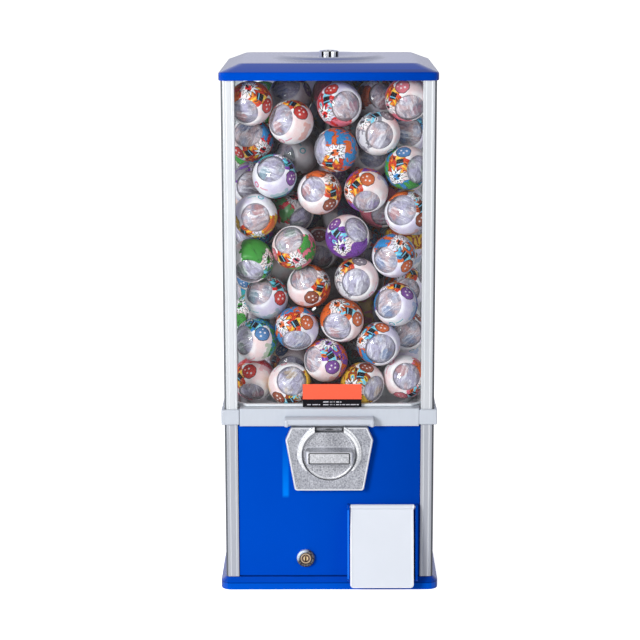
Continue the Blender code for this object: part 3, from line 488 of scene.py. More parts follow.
def capsule_shell():
    """Thin clear moulded capsule, milky where it turns away."""
    tree = Tree("capsule_shell")
    local = tree.attribute("local", "Vector")
    shade = tree.number("shade")
    ripple = tree.noise(local, 0.05, 2)
    normal = tree.bump(ripple, 0.002, 0.35)
    facing = tree.facing()
    through = tree.node("BsdfTransparent", {"Color": (250, 250, 253)}).outputs[0]
    milk = tree.node("BsdfDiffuse", {"Color": (232, 228, 242)}).outputs[0]
    haze = facing.power(2.2) * 0.55 + tree.remap(ripple, 0.45, 0.7) * 0.12
    # Painted shade also dims the haze and the reflection of deep capsules.
    haze = tree.remap(haze * (1 - shade * 0.9), 0, 1)
    wall = tree.blend(haze, through, milk)
    mirror = tree.glossy(tree.rough(ripple, 0.05, 0.12), normal)
    share = tree.remap((facing.power(3.2) * 0.4 + 0.032) * (1 - shade * 0.6), 0, 1)
    return tree.done(tree.blend(share, wall, mirror))


def capsule_film():
    """Crumpled wrapping inside a capsule: lavender grey with painted paler streaks of light along
    its folds.
    """
    tree = Tree("capsule_film")
    local = tree.attribute("local", "Vector")
    tint = tree.attribute("tint", "Color")
    seed = tree.number("seed")
    shade = tree.number("shade")
    fine = tree.noise(local, 0.16, 4, 0.6, 1.2)
    broad = tree.noise(local, 0.05, 2, 0.5, 0.8)
    # Paler streaks painted along the folds, as the light they catch.
    streak = tree.noise(tree.scaled(local, (0.16, 0.9, 0.5)), 0.22, 3, 0.6, 0.4)
    tone = tree.remap(fine * 0.35 + streak * 0.65, 0.40, 0.66)
    colour = tree.mix(tone, (152, 146, 164), (246, 244, 251))
    warmth = tree.mix(seed.above(0.5), (236, 190, 178), (196, 190, 226))
    colour = tree.mix(broad.above(0.5, 0.05) * 0.45, colour, warmth)
    colour = tree.mix(broad.below(0.40, 0.03) * 0.35, colour, tint)
    # Painted glints of light on the folds.
    painted_glint = tree.noise(tree.scaled(local, (0.3, 1.1, 0.6)), 0.16, 2, 0.5, 1.0)
    colour = tree.mix(painted_glint.between(0.56, 0.61, 0.012) * 0.75, colour, (254, 253, 255))
    # Painted shade on capsules deep in the stack.
    colour = tree.mix(shade * 0.85, colour, (62, 54, 74))
    normal = tree.bump(fine, 0.004, 0.5)
    rough = tree.rough(fine, 0.22, 0.4)
    return tree.done(tree.principled(colour, rough, normal, Specular_IOR_Level=0.35))


PRINT_RADIUS = 26.0  # mm, of the surface the bands' print is laid out on
PRINT_SHIFT = 8  # mm the print is moved towards the clear end that faces the front
INK = (26, 21, 30)


class BandPrint:
    """The print of the capsules' bands, laid out in millimetres round (u) and across (v)."""

    def __init__(self, tree):
        self.tree = tree
        local = tree.attribute("local", "Vector")
        x, y, z = tree.split(local)
        height = tree.remap(z / PRINT_RADIUS, -1, 1, -1, 1)
        self.u = tree.maths("ARCTAN2", y, x) * PRINT_RADIUS
        self.v = tree.maths("ARCSINE", height) * PRINT_RADIUS - PRINT_SHIFT
        self.tint = tree.attribute("tint", "Color")
        self.accent = tree.attribute("accent", "Color")
        self.seed = tree.number("seed")
        self.fibre = tree.noise(local, 0.9, 3)
        self.wobble = tree.noise(local, 0.16, 2) * 12 - 6
        self.swirl = tree.noise(local, 0.075, 2, 0.5, 1.4)
        patches = tree.remap(tree.noise(local, 0.045, 2), 0.42, 0.62)
        white = tree.mix(self.fibre, (244, 243, 249), (255, 254, 255))
        hue = tree.mix(self.chance(3, 0.5), (216, 204, 240), (250, 214, 214))
        self.colour = tree.mix(patches * 0.7, white, hue)

    def chance(self, spread, limit):
        """1 on some of the capsules."""
        return (self.seed * spread).fraction().above(limit)

    def paint(self, mask, ink):
        """Lay an ink over the print."""
        self.colour = self.tree.mix(mask, self.colour, ink)

    def disc(self, centre_u, centre_v, size):
        """How far inside a disc the point is, in millimetres."""
        du = self.u - centre_u
        dv = self.v - centre_v
        return size - (du * du + dv * dv).power(0.5)

    def field(self):
        """A coloured field of swirls between the blob and the starburst."""
        mix = self.tree.mix
        swirl = self.swirl
        inside = (self.u + self.wobble * 1.3).between(7, 30) * (abs(self.v) + self.wobble).below(17)
        warm = mix(swirl.above(0.52), (238, 116, 34), (252, 206, 60))
        warm = mix(swirl.below(0.43), warm, (214, 62, 38))
        cool = mix(swirl.above(0.50), self.tint, (120, 214, 240))
        cool = mix(swirl.below(0.43), cool, self.accent)
        inks = mix(self.chance(5, 0.45), warm, cool)
        inks = mix(swirl.between(0.425, 0.445), inks, INK)
        inks = mix(swirl.between(0.575, 0.60), inks, (255, 246, 214))
        self.paint(inside, inks)

    def far_side(self):
        """A tinted field beyond the starburst, and a tinted rim."""
        mix = self.tree.mix
        inks = mix(self.swirl.above(0.54), self.tint, self.accent)
        inks = mix(self.swirl.between(0.525, 0.54), inks, INK)
        self.paint((self.u + self.wobble * 1.4).between(45, 76), inks)
        rim = (self.v + self.wobble * 0.5).below(-11.0) * self.chance(7, 0.3)
        rim = rim * (self.u + self.wobble).between(-34, 75)
        self.paint(rim, mix(self.swirl.above(0.5), self.tint, self.accent))

    def wedge(self):
        """A black wedge beside the starburst, with a pale stripe."""
        slant = self.u + self.v * 0.6
        inside = slant.between(13, 24) * (self.v - self.u * 0.35).between(-5, 4.5)
        self.paint(inside, self.tree.mix(slant.between(20.0, 21.4), INK, (120, 200, 236)))

    def blob(self):
        """A ball in the accent colour, with pale specks and a dark edge."""
        mix = self.tree.mix
        inside = self.disc(-1, 1, 8.8) + self.wobble * 0.2
        lit = self.tree.remap(self.disc(-3.5, 3.5, 12), 0, 12)
        dark_side = mix(0.35, self.accent, (90, 16, 30))
        light_side = mix(0.1, self.accent, (255, 214, 190))
        self.paint(inside.above(-0.8), INK)
        self.paint(inside.above(0), mix(lit, dark_side, light_side))
        for u, v, size in ((-4.0, 3.6, 1.4), (1.2, 3.2, 1.2), (-0.6, -2.2, 1.3), (4.2, -1.0, 0.8)):
            self.paint(self.disc(u, v, size).above(0) * 0.9, (250, 244, 244))

    def starburst(self):
        """A white star with a black edge and broken black strokes in the middle."""
        u, v = 34, 1
        du = self.u - u
        dv = self.v - v
        turn = self.tree.maths("ARCTAN2", dv, du)
        spikes = (1 - abs((turn * 5.5 + self.seed * 6).sine())) * 6.8
        self.paint((self.disc(u, v, 7.6) + spikes).above(0), INK)
        self.paint((self.disc(u, v, 6.4) + spikes * 0.84).above(0), (253, 252, 255))
        strokes = (du * 0.86 + dv * 0.5 + self.wobble * 0.5).sine().above(0.1)
        strokes = strokes * (dv * 0.55 - du * 0.2 + self.seed * 6).sine().above(-0.55)
        self.paint((self.disc(u, v, 5.4) + spikes * 0.3).above(0) * strokes, INK)
        between = self.disc(u, v, 5.0).above(0) * (1 - strokes) * self.swirl.above(0.52)
        self.paint(between, self.accent)

    def small_marks(self):
        """A small ring, short plain marks and a faint tint on the white part."""
        small = self.tree.mix(self.seed.above(0.5), (40, 190, 200), (232, 96, 140))
        self.paint(abs(self.disc(-56, 3, 3.3)).below(0.75), small)
        row = self.v.between(2.2, 4.0) * self.u.between(-50, -38)
        self.paint((self.u * 0.62).fraction().above(0.35) * row, small)
        pale = (self.u + self.wobble).between(-36, -14) * (self.v + self.wobble).between(-14, -4)
        self.paint(pale * 0.45, self.tint)


def capsule_band():
    """Printed paper band that lets a little light through."""
    tree = Tree("capsule_band")
    pattern = BandPrint(tree)
    pattern.field()
    pattern.far_side()
    pattern.wedge()
    pattern.blob()
    pattern.starburst()
    pattern.small_marks()
    # Painted shade: capsules deep in the stack are drawn dark purple.
    pattern.paint(tree.number("shade") * 0.82, (54, 42, 62))
    rough = tree.rough(pattern.fibre, 0.26, 0.38)
    crinkle = tree.noise(tree.attribute("local", "Vector"), 0.12, 2)
    normal = tree.bump(crinkle, 0.003, 0.3)
    paper = tree.principled(pattern.colour, rough, normal, Specular_IOR_Level=0.3)
    lit_through = tree.node("BsdfTranslucent", {"Color": pattern.colour}).outputs[0]
    return tree.done(tree.blend(0.16, paper, lit_through))


DIAL_HEIGHT = 0.1687
DIAL_CENTRE = (0, DIAL_HEIGHT)  # across, up

MATERIALS = {
    "blue_paint": blue_paint(),
    "rail_enamel": pale_metal("rail_enamel", (194, 200, 210), (184, 190, 200), 0.34, 0.1,
                              (8, 8, 1)),
    "post_metal": post_metal(),
    "flap_enamel": pale_metal("flap_enamel", (213, 218, 227), (205, 210, 219), 0.3, 0.0, (1, 1, 1),
                              flap_rim_highlight),
    "zinc": die_cast("zinc", (196, 198, 206), (124, 126, 136), marks=slot_floor_shade, highlight_and_pale_finish=shield_rim_highlight),
    "zinc_dial": die_cast("zinc_dial", (212, 213, 219), (114, 116, 125), 0.42,
                          marks=handle_groove_shade, highlight_and_pale_finish=handle_panel),
    "zinc_guard": die_cast("zinc_guard", (250, 251, 253), (232, 234, 238), 0.22, 0.4, 260),
    "zinc_bar": die_cast("zinc_bar", (168, 170, 176), (118, 120, 128), marks=bar_slit_shade),
    "steel": pale_metal("steel", (176, 178, 182), (150, 152, 157), 0.32, 0.9, (4, 4, 4)),
    "chrome": polished("chrome", (232, 234, 238)),
    "lock_chrome": lock_chrome(),
    "lock_ring": lock_ring(),
    "lock_plug": lock_plug(),
    "white_plastic": moulded("white_plastic", (240, 242, 246), (228, 230, 236)),
    "grey_plastic": moulded("grey_plastic", (206, 210, 218), (190, 195, 204)),
    "clear_pane": clear_pane("clear_pane", (254, 255, 255)),
    "label_print": label_print(),
}

CORNERS = ("front_left", "front_right", "rear_left", "rear_right")

NODE_FINISH = {
    "blue_paint": [
        "base_tray", "side_panel_left", "side_panel_right", "rear_panel", "service_panel",
        "chute_frame",
    ],
    "rail_enamel": ["rail_front", "rail_rear", "rail_left", "rail_right"]
                   + [f"corner_sleeve_{corner}" for corner in CORNERS],
    "post_metal": [f"{level}_post_{corner}" for level in ("lower", "upper") for corner in CORNERS],
    "zinc": ["coin_mech_housing", "coin_carrier", "drive_gear"],
    "steel": [
        "centre_rod", "rod_foot", "rod_strike_cup", "wheel_collar", "pan_clamp_nut",
        "mech_clamp_screw_left", "mech_clamp_screw_right", "coin_mech_shaft",
        "drive_gear_screw", "flap_hinge_pin", "cam_lock_nut", "lid_lock_nut",
        "cam_lock_cam", "lid_lock_cam",
    ],
    "chrome": ["lid_lock_plug"],
    "lock_ring": ["cam_lock_body"],
    "lock_chrome": ["lid_lock_body"],
    "lock_plug": ["cam_lock_plug"],
    "white_plastic": ["hopper_tray", "dispensing_wheel", "chute", "exit_guard"],
    "grey_plastic": ["cash_box"],
    "clear_pane": [f"window_{side}" for side in ("front", "rear", "left", "right")],
    "label_print": ["window_label"],
}

SOFT_EDGES = {  # edge radius in mm for the carried-over nodes of each finish
    "blue_paint": 0.5,
    "rail_enamel": 0.5,
    "post_metal": 0.25,
    "zinc": 0.3,
    "chrome": 0.25,
    "lock_ring": 0.3,
    "lock_chrome": 0.4,
    "white_plastic": 0.4,
    "grey_plastic": 0.4,
}


def soften(item, width, segments=2, angle=35):
    """Small rounded edges that catch the light."""
    weld = item.modifiers.new("weld", "WELD")
    weld.merge_threshold = 0.00001
    bevel = item.modifiers.new("bevel", "BEVEL")
    bevel.width = width * MM
    bevel.segments = segments
    bevel.limit_method = "ANGLE"
    bevel.angle_limit = radians(angle)
    return item


def finish_nodes():
    """Give every carried-over CAD node its material and soft edges."""
    for finish, names in NODE_FINISH.items():
        for name in names:
            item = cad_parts[name]
            item.data.materials.clear()
            item.data.materials.append(MATERIALS[finish])
            if finish in SOFT_EDGES:
                soften(item, SOFT_EDGES[finish])


# ---------------------------------------------------------------- shaped pieces


def arc(radius, start, end, steps, centre=(0, 0)):
    """Points along an arc, both ends included."""
    points = []
    for i in range(steps + 1):
        angle = start + (end - start) * i / steps
        points.append((centre[0] + radius * cos(angle), centre[1] + radius * sin(angle)))
    return points


def rounded(corners, steps=5):
    """A closed outline whose corners (across, along, radius) are arcs."""
    points = []
    for i, (across, along, radius) in enumerate(corners):
        corner = Vector((across, along))
        back = (Vector(corners[i - 1][:2]) - corner).normalized()
        onward = (Vector(corners[(i + 1) % len(corners)][:2]) - corner).normalized()
        half_angle = back.angle(onward) / 2
        centre = corner + (back + onward).normalized() * (radius / sin(half_angle))
        start = corner + back * (radius / tan(half_angle)) - centre
        end = corner + onward * (radius / tan(half_angle)) - centre
        sweep = atan2(start.x * end.y - start.y * end.x, start.dot(end))
        first = atan2(start.y, start.x)
        points += arc(radius, first, first + sweep, steps, tuple(centre))
    return points


def inset(corners, distance):
    """The same outline with its sides moved inwards; corner radii stay at 0.4 mm or more."""
    count = len(corners)
    moved = []
    for i, (across, along, radius) in enumerate(corners):
        corner = Vector((across, along))
        before = (corner - Vector(corners[i - 1][:2])).normalized()
        after = (Vector(corners[(i + 1) % count][:2]) - corner).normalized()
        inward = Vector((-before.y, before.x)) + Vector((-after.y, after.x))
        inward = inward.normalized()
        reach = distance / inward.dot(Vector((-after.y, after.x)))
        place = corner + inward * reach
        moved.append((place.x, place.y, max(radius - distance, 0.0004)))
    return moved


def box_corners(half_across, half_along, radius, centre=(0, 0)):
    """Corners of a rectangle, anticlockwise, for rounded() and inset()."""
    signs = ((-1, -1), (1, -1), (1, 1), (-1, 1))
    return [(centre[0] + i * half_across, centre[1] + j * half_along, radius) for i, j in signs]


def loft(loops, closed=False):
    """A skin through loops of equal length: capped, or closed from the last back to the first."""
    count = len(loops[0])
    points = [point for loop in loops for point in loop]
    faces = []
    for level in range(len(loops) if closed else len(loops) - 1):
        low = level * count
        high = (level + 1) % len(loops) * count
        for i in range(count):
            after = (i + 1) % count
            faces.append((low + i, low + after, high + after, high + i))
    if not closed:
        faces.append(tuple(reversed(range(count))))
        faces.append(tuple(range((len(loops) - 1) * count, len(loops) * count)))
    return points, faces


def facing_front(outline, depth):
    """An outline (across, up) placed at a depth, as points of the front view."""
    return [(across, depth, up) for across, up in outline]


def stepped(corners, levels):
    """A solid with one rounded outline, moved inwards at each (depth, inset) level."""
    return loft([facing_front(rounded(inset(corners, by)), depth) for depth, by in levels])


def circle(radius, sides=96, centre=(0, 0)):
    """A closed circle of so many sides."""
    return arc(radius, 0, 2 * pi * (1 - 1 / sides), sides - 1, centre)


def placed(name, data):
    """A new object in the scene."""
    item = bpy.data.objects.new(name, data)
    SCENE.collection.objects.link(item)
    return item


def piece(name, solids, material, body, angle=32):
    """One object from solids (vertices, faces), riding on a body."""
    shape = bmesh.new()
    for points, faces in solids:
        made = [shape.verts.new(point) for point in points]
        for face in faces:
            shape.faces.new([made[index] for index in face])
    bmesh.ops.recalc_face_normals(shape, faces=shape.faces)
    mesh = bpy.data.meshes.new(name)
    shape.to_mesh(mesh)
    shape.free()
    mesh.materials.append(MATERIALS[material])
    mesh.shade_smooth()
    mesh.set_sharp_from_angle(angle=radians(angle))
    item = placed(name, mesh)
    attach(item, body)
    return item


def cut(item, solids, angle=32):
    """Take solids away from a piece and keep the result as its mesh."""
    cutters = []
    for number, (points, faces) in enumerate(solids):
        shape = bpy.data.meshes.new(f"cutter_{number}")
        shape.from_pydata([tuple(point) for point in points], [], faces)
        fixed = bmesh.new()
        fixed.from_mesh(shape)
        bmesh.ops.recalc_face_normals(fixed, faces=fixed.faces)
        fixed.to_mesh(shape)
        fixed.free()
        cutter = placed(f"cutter_{number}", shape)
        cutters.append(cutter)
        modifier = item.modifiers.new(f"cut_{number}", "BOOLEAN")
        modifier.operation = "DIFFERENCE"
        modifier.solver = "EXACT"
        modifier.object = cutter
    bpy.context.view_layer.update()
    evaluated = item.evaluated_get(bpy.context.evaluated_depsgraph_get())
    mesh = bpy.data.meshes.new_from_object(evaluated)
    item.modifiers.clear()
    item.data = mesh
    mesh.shade_smooth()
    mesh.set_sharp_from_angle(angle=radians(angle))
    for cutter in cutters:
        bpy.data.objects.remove(cutter)


def box_solid(low, high):
    """A plain box, for cutting."""
    outline = [(low[0], low[2]), (high[0], low[2]), (high[0], high[2]), (low[0], high[2])]
    return loft([facing_front(outline, low[1]), facing_front(outline, high[1])])


def round_solid(radius, front, back, sides=96):
    """A disc on the dial's axis, for cutting."""
    outline = circle(radius, sides, DIAL_CENTRE)
    return loft([facing_front(outline, front), facing_front(outline, back)])


SHIELD = [  # corners of the shield: across, up, radius
    (-0.041, 0.1235, 0.004), (0.041, 0.1235, 0.004), (0.052, 0.1856, 0.003),
    (0.045, 0.2015, 0.0025), (-0.045, 0.2015, 0.0025), (-0.052, 0.1856, 0.003),
]
DIAL_RADIUS = 0.0315
RECESS_RADIUS = 0.0323
RECESS_FLOOR = -0.1243
SHAFT_HOLE = 0.0055
SLOT_HALF = 0.0172
SLOT_BOTTOM = 0.1948
GUARD_START = -35  # degrees round the dial, from its side
GUARD_END = 62
CUT_FRONT = -0.140  # a depth in front of the shield, where the cutting solids start
CUT_BACK = -0.120  # and one behind it


def guard_solid(side):
    """One half of the raised horseshoe: a moulded strip swept round the dial."""
    profile = [  # radius, depth
        (0.0323, -0.1300), (0.0323, -0.1362), (0.0330, -0.1370), (0.0352, -0.1372),
        (0.0360, -0.1364), (0.0362, -0.1336), (0.0368, -0.1336), (0.0370, -0.1342),
        (0.0378, -0.1342), (0.0381, -0.1334), (0.0381, -0.1300),
    ]
    steps = 48
    loops = []
    for i in range(steps + 1):
        angle = radians(GUARD_START + (GUARD_END - GUARD_START) * i / steps)
        width = min(1, 0.4 + 2 * i / steps)  # narrow at its lower end
        loop = []
        for radius, depth in profile:
            reach = profile[0][0] + (radius - profile[0][0]) * width
            loop.append((side * reach * cos(angle), depth, DIAL_HEIGHT + reach * sin(angle)))
        loops.append(loop)
    return loft(loops)


def build_mech_face():
    """The shield with its bevelled rim, dial recess, coin slot and horseshoe guard."""
    levels = (  # depth, inset from the outline
        (-0.1223, 0), (-0.1300, 0), (-0.1313, 0.0004), (-0.1320, 0.0012), (-0.1320, 0.0019),
        (-0.1317, 0.0022), (-0.1313, 0.0024), (-0.1311, 0.0040),
    )
    face = piece("coin_mech_face", [stepped(SHIELD, levels)], "zinc", "service_door")
    slot_low = (-SLOT_HALF, CUT_FRONT, SLOT_BOTTOM)
    cut(face, [
        round_solid(RECESS_RADIUS, CUT_FRONT, RECESS_FLOOR),
        box_solid(slot_low, (SLOT_HALF, RECESS_FLOOR - 0.0007, 0.205)),
        round_solid(SHAFT_HOLE, CUT_FRONT, CUT_BACK, 32),
    ])
    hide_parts("coin_mech_plate")
    guard = piece("dial_guard", [guard_solid(-1), guard_solid(1)], "zinc_guard",
                  "service_door")
    cut(guard, [box_solid(slot_low, (SLOT_HALF, RECESS_FLOOR, 0.215))])
    bar_levels = ((-0.1249, 0), (-0.1262, 0), (-0.1266, 0.0005))
    bar = box_corners(0.0150, 0.0018, 0.0009, (0, 0.1978))
    piece("coin_slot_bar", [stepped(bar, bar_levels)], "zinc_bar", "service_door")


def build_dial_handle():
    """The dial: a disc with a rounded rim and a handle bar with a grooved front panel."""
    disc_levels = ((-0.1270, 0), (-0.1297, 0), (-0.1305, 0.0003), (-0.1309, 0.0009),
                   (-0.1310, 0.0018), (-0.1307, 0.0024), (-0.1307, 0.0060))
    loops = []
    for depth, by in disc_levels:
        loops.append(facing_front(circle(DIAL_RADIUS - by, 96, DIAL_CENTRE), depth))
    dial = piece("coin_dial", [loft(loops)], "zinc_dial", "dial")
    cut(dial, [
        box_solid((-SLOT_HALF, CUT_FRONT, SLOT_BOTTOM), (SLOT_HALF, CUT_BACK, 0.210)),
        round_solid(0.0053, -0.1375, CUT_BACK, 32),
    ])
    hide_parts("coin_dial_handle")
    levels = (  # depth, half width, half height, corner radius
        (-0.1301, 0.0292, 0.0090, 0.0050), (-0.1325, 0.0282, 0.0084, 0.0045),
        (-0.1480, 0.0274, 0.0080, 0.0036), (-0.1503, 0.0270, 0.0078, 0.0034),
        (-0.1514, 0.0262, 0.0074, 0.0030), (-0.1520, 0.0252, 0.0070, 0.0024),
        (-0.1520, 0.0243, 0.0069, 0.0020), (-0.1512, 0.0242, 0.0068, 0.0018),
        (-0.1506, 0.0241, 0.0067, 0.0018), (-0.1506, 0.0231, 0.0058, 0.0012),
        (-0.1514, 0.0230, 0.0057, 0.0012), (-0.1518, 0.0226, 0.0053, 0.0010),
    )
    loops = []
    for depth, across, along, radius in levels:
        outline = rounded(box_corners(across, along, radius, DIAL_CENTRE))
        loops.append(facing_front(outline, depth))
    bar = piece("dial_handle_bar", [loft(loops)], "zinc_dial", "dial")
    cut(bar, [round_solid(0.0046, -0.1356, CUT_BACK, 32)])
    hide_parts("coin_dial_handle")


def build_hood_cheeks():
    """Rounded ends on the hood over the coin slot."""
    levels = ((-0.1275, 0), (-0.1385, 0), (-0.1405, 0.0005), (-0.1416, 0.0014), (-0.1419, 0.0024))
    solids = []
    for side in (-1, 1):
        corners = box_corners(0.0030, 0.0049, 0.0028, (side * 0.0505, 0.2082))
        solids.append(stepped(corners, levels))
    piece("hood_cheeks", solids, "rail_enamel", "cabinet")


FLAP_HINGE = (-0.1275, 0.1025)  # y and z of the hinge pin
FLAP_LENGTH = 0.0965
FLAP_LEAN = -12  # degrees at rest
ROLL_RADIUS = 0.0031


def build_flap_skin():
    """The flap: a pressed plate with a raised rim and a rolled top edge."""
    low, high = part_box("chute_flap")
    half = (high.x - low.x) / 2
    axis = Vector(((low.x + high.x) / 2, *FLAP_HINGE))
    tilt = Matrix.Rotation(radians(FLAP_LEAN), 4, "X")
    left = -half - 0.0002
    right = half - 0.0012
    top = 0.001
    corners = [
        (left, -FLAP_LENGTH, 0.004), (right, -FLAP_LENGTH, 0.004),
        (right, top, 0.0012), (left, top, 0.0012),
    ]
    levels = ((0.0010, 0), (-0.0008, 0), (-0.0013, 0.0003), (-0.0016, 0.0009), (-0.0016, 0.0020),
              (-0.0013, 0.0026), (-0.0012, 0.0040))
    width = half - 0.0003
    ease = 0.0006  # chamfer at the ends of the rolled edge
    loops = []
    for x, by in ((-width, ease), (-width + ease, 0), (width - ease, 0), (width, ease)):
        loops.append([(x, y, z) for y, z in circle(ROLL_RADIUS - by, 32)])
    solids = []
    for points, faces in (stepped(corners, levels), loft(loops)):
        solids.append(([tuple(axis + tilt @ Vector(point)) for point in points], faces))
    flap = piece("chute_flap_skin", solids, "flap_enamel", "flap")
    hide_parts("chute_flap")


LID_EMBOSS = 0.072  # radius where the pressed ring starts to rise
LID_CREST = 0.056  # radius where it is highest
LID_HOLE = 0.0099
LID_SIDES = 240
LID_SHEET = 0.0008
LID_TOP = 0.6264
LID_LEVELS = (  # half width, corner radius, height
    (0.1252, 0.0068, 0.6082), (0.1260, 0.0076, 0.6080), (0.1265, 0.0080, 0.6086),
    (0.1265, 0.0080, 0.6160), (0.1262, 0.0079, 0.6168), (0.1255, 0.0076, 0.6174),
    (0.1244, 0.0074, 0.6179), (0.1046, 0.0034, 0.6256), (0.1036, 0.0032, 0.62595),
    (0.1024, 0.0031, 0.62625), (0.1010, 0.0030, LID_TOP),
)


def square_reach(angle, half, radius):
    """Distance from the middle to a square with round corners, in one direction."""
    along = max(abs(cos(angle)), abs(sin(angle)))
    across = min(abs(cos(angle)), abs(sin(angle)))
    flat = half - radius
    reach = half / along
    if reach * across <= flat:
        return reach
    # The ray meets the corner's arc.
    dot = flat * (along + across)
    return dot + sqrt(max(dot * dot - 2 * flat * flat + radius * radius, 0))


def square_loop(half, radius, height):
    """A closed loop of the lid: a square with round corners."""
    points = []
    for i in range(LID_SIDES):
        angle = 2 * pi * (i + 0.5) / LID_SIDES
        reach = square_reach(angle, half, radius)
        points.append((reach * cos(angle), reach * sin(angle), height))
    return points


def emboss_rise(radius):
    """Height of the pressed ring over the flat of the lid."""
    crest = 0.0035
    centre = 0.0005
    if radius > LID_CREST:
        share = (LID_EMBOSS - radius) / (LID_EMBOSS - LID_CREST)
        return crest * (1 - cos(pi * share)) / 2
    return centre + (crest - centre) * (1 - cos(pi * radius / LID_CREST)) / 2


def build_lid_skin():
    """The pressed lid: folded lip, sloping sides, flat top and turned ring round the lock."""
    loops = [square_loop(*level) for level in LID_LEVELS]
    for share in (0.3, 0.6, 0.85):
        loop = []
        for x, y, z in square_loop(*LID_LEVELS[-1]):
            reach = math.hypot(x, y)
            wanted = reach + (LID_EMBOSS + 0.001 - reach) * share
            loop.append((x * wanted / reach, y * wanted / reach, z))
        loops.append(loop)
    steps = 44
    for i in range(steps + 1):
        radius = LID_EMBOSS + (LID_HOLE - LID_EMBOSS) * i / steps
        loop = []
        for side in range(LID_SIDES):
            angle = 2 * pi * (side + 0.5) / LID_SIDES
            loop.append((radius * cos(angle), radius * sin(angle), LID_TOP + emboss_rise(radius)))
        loops.append(loop)
    outer = loops
    # The inside of the sheet, back down to the lip.
    inner = []
    for loop in reversed(outer[3:]):
        inner.append([(x * 0.9925, y * 0.9925, z - LID_SHEET) for x, y, z in loop])
    inner[-1] = [(x, y, 0.6084) for x, y, _z in inner[-1]]
    lid = piece("lid_skin", [loft(outer + inner, closed=True)], "blue_paint", "top_lid",
                60)
    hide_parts("lid")


# ---------------------------------------------------------------- capsules

SPHERE = 26.1  # capsule radius with its band, mm
SHELL = 25.7
BAND_OUTER = 26.1
BAND_INNER = 25.8
WRAPPING = 24.6
CAPSULE_COUNT = 138
WALL_REACH = 91.2  # furthest a capsule centre goes from the middle, mm
TRAY_EDGE = 109.3  # inside of the hopper tray's walls
TRAY_CORNER = 7.2  # how far its corners are cut off
TRAY_TOP = 225.9
TRAY_FLOOR = 209.1
WHEEL_TOP = 214.1
WHEEL_EDGE = 105.0
CEILING = 585.5
ROD_RADIUS = 4.5
CUP_RADIUS = 14  # of the cup at the top of the rod, which starts at CUP_BOTTOM for a capsule
CUP_BOTTOM = 561
LAYER_DEPTH = (-91.0, -72.0, -50.0)
SETTLING_TURNS = 1500
HELD_TURNS = 900  # turns in which the front capsules are held near their places
FREE_TURN = 1330  # after it nothing holds them
EYE = np.array((0.0, -2335.0, 777.4))  # camera, mm

ORANGE = (226, 104, 40)
RED = (222, 36, 34)
BROWN = (158, 70, 36)
PURPLE = (130, 70, 178)
GREEN = (70, 158, 66)
BLUE = (50, 140, 206)
TEAL = (52, 172, 178)
YELLOW = (236, 190, 52)
PINK = (232, 120, 140)
GREY = (150, 146, 160)
WHITE = (222, 220, 228)

# x and z as seen in the front layer, layer, lean of the clear end, roll of the band, tint, accent
FRONT_CAPSULES = (
    (-93, 579, 0, -0.25, -0.35, -10, ORANGE, RED),
    (-90, 537, 0, -0.17, 0.50, 230, BLUE, RED),
    (-44, 558, 0, -0.64, 0.21, -10, ORANGE, RED),
    (-63, 493, 0, -0.18, 0.54, -25, TEAL, PURPLE),
    (-36, 514, 1, -0.70, 0.00, 100, GREEN, BROWN),
    (-86, 446, 0, 0.05, 0.05, 200, ORANGE, YELLOW),
    (-43, 451, 1, 0.50, -0.30, 60, GREEN, RED),
    (-11, 475, 0, -0.35, 0.30, -60, ORANGE, BROWN),
    (-57, 404, 0, -0.30, 0.60, -160, GREEN, PINK),
    (-101, 485, 1, 0.00, 0.00, 0, GREY, PURPLE),
    (-97, 396, 0, -0.10, -0.50, -60, GREEN, GREEN),
    (-15, 415, 1, 0.00, -0.40, 90, ORANGE, BROWN),
    (12, 578, 0, 0.38, 0.00, 150, PINK, RED),
    (59, 546, 0, 0.05, 0.00, 70, WHITE, GREY),
    (90, 583, 0, 0.10, -0.45, 120, PINK, PINK),
    (9, 525, 0, -0.95, 0.10, -152, BLUE, ORANGE),
    (44, 480, 0, 0.00, -0.52, 90, PURPLE, ORANGE),
    (92, 504, 0, 0.60, 0.00, 160, GREEN, BLUE),
    (86, 451, 0, -0.35, 0.30, -40, ORANGE, BROWN),
    (22, 421, 0, 0.50, 0.50, 180, PURPLE, PURPLE),
    (53, 579, 2, 0.30, 0.30, 60, ORANGE, BROWN),
    (100, 543, 1, 0.10, 0.20, 0, BLUE, BLUE),
    (74, 398, 0, -0.50, -0.10, -50, BLUE, ORANGE),
    (48, 515, 2, 0.20, 0.30, 0, BLUE, PURPLE),
    (-37, 587, 1, -0.20, 0.60, 0, BLUE, PURPLE),
    (-76, 355, 0, -0.40, 0.50, -30, TEAL, RED),
    (-24, 363, 0, -0.30, 0.65, -80, ORANGE, BROWN),
    (-85, 300, 0, -0.75, 0.10, -20, GREEN, BLUE),
    (-38, 311, 0, 0.00, -0.60, 60, BLUE, ORANGE),
    (-45, 272, 1, 0.00, -0.30, 120, GREY, BLUE),
    (-87, 245, 0, -0.10, -0.60, 90, PINK, RED),
    (-36, 240, 0, 0.15, 0.40, -120, YELLOW, BROWN),
    (-5, 272, 0, -0.75, 0.20, -60, ORANGE, PURPLE),
    (-108, 332, 1, 0.30, 0.00, 90, GREEN, GREEN),
    (32, 364, 0, -0.05, 0.00, 80, WHITE, GREY),
    (78, 337, 0, -0.50, 0.20, 10, BLUE, PURPLE),
    (104, 358, 1, 0.10, 0.00, 40, ORANGE, GREY),
    (17, 318, 0, -0.30, -0.20, 0, ORANGE, ORANGE),
    (55, 289, 0, 0.10, -0.10, 90, BLUE, ORANGE),
    (108, 309, 1, 0.20, 0.10, 60, BLUE, BROWN),
    (90, 253, 0, 0.05, 0.25, -100, ORANGE, PINK),
    (34, 242, 0, 0.65, -0.10, 140, YELLOW, BROWN),
)


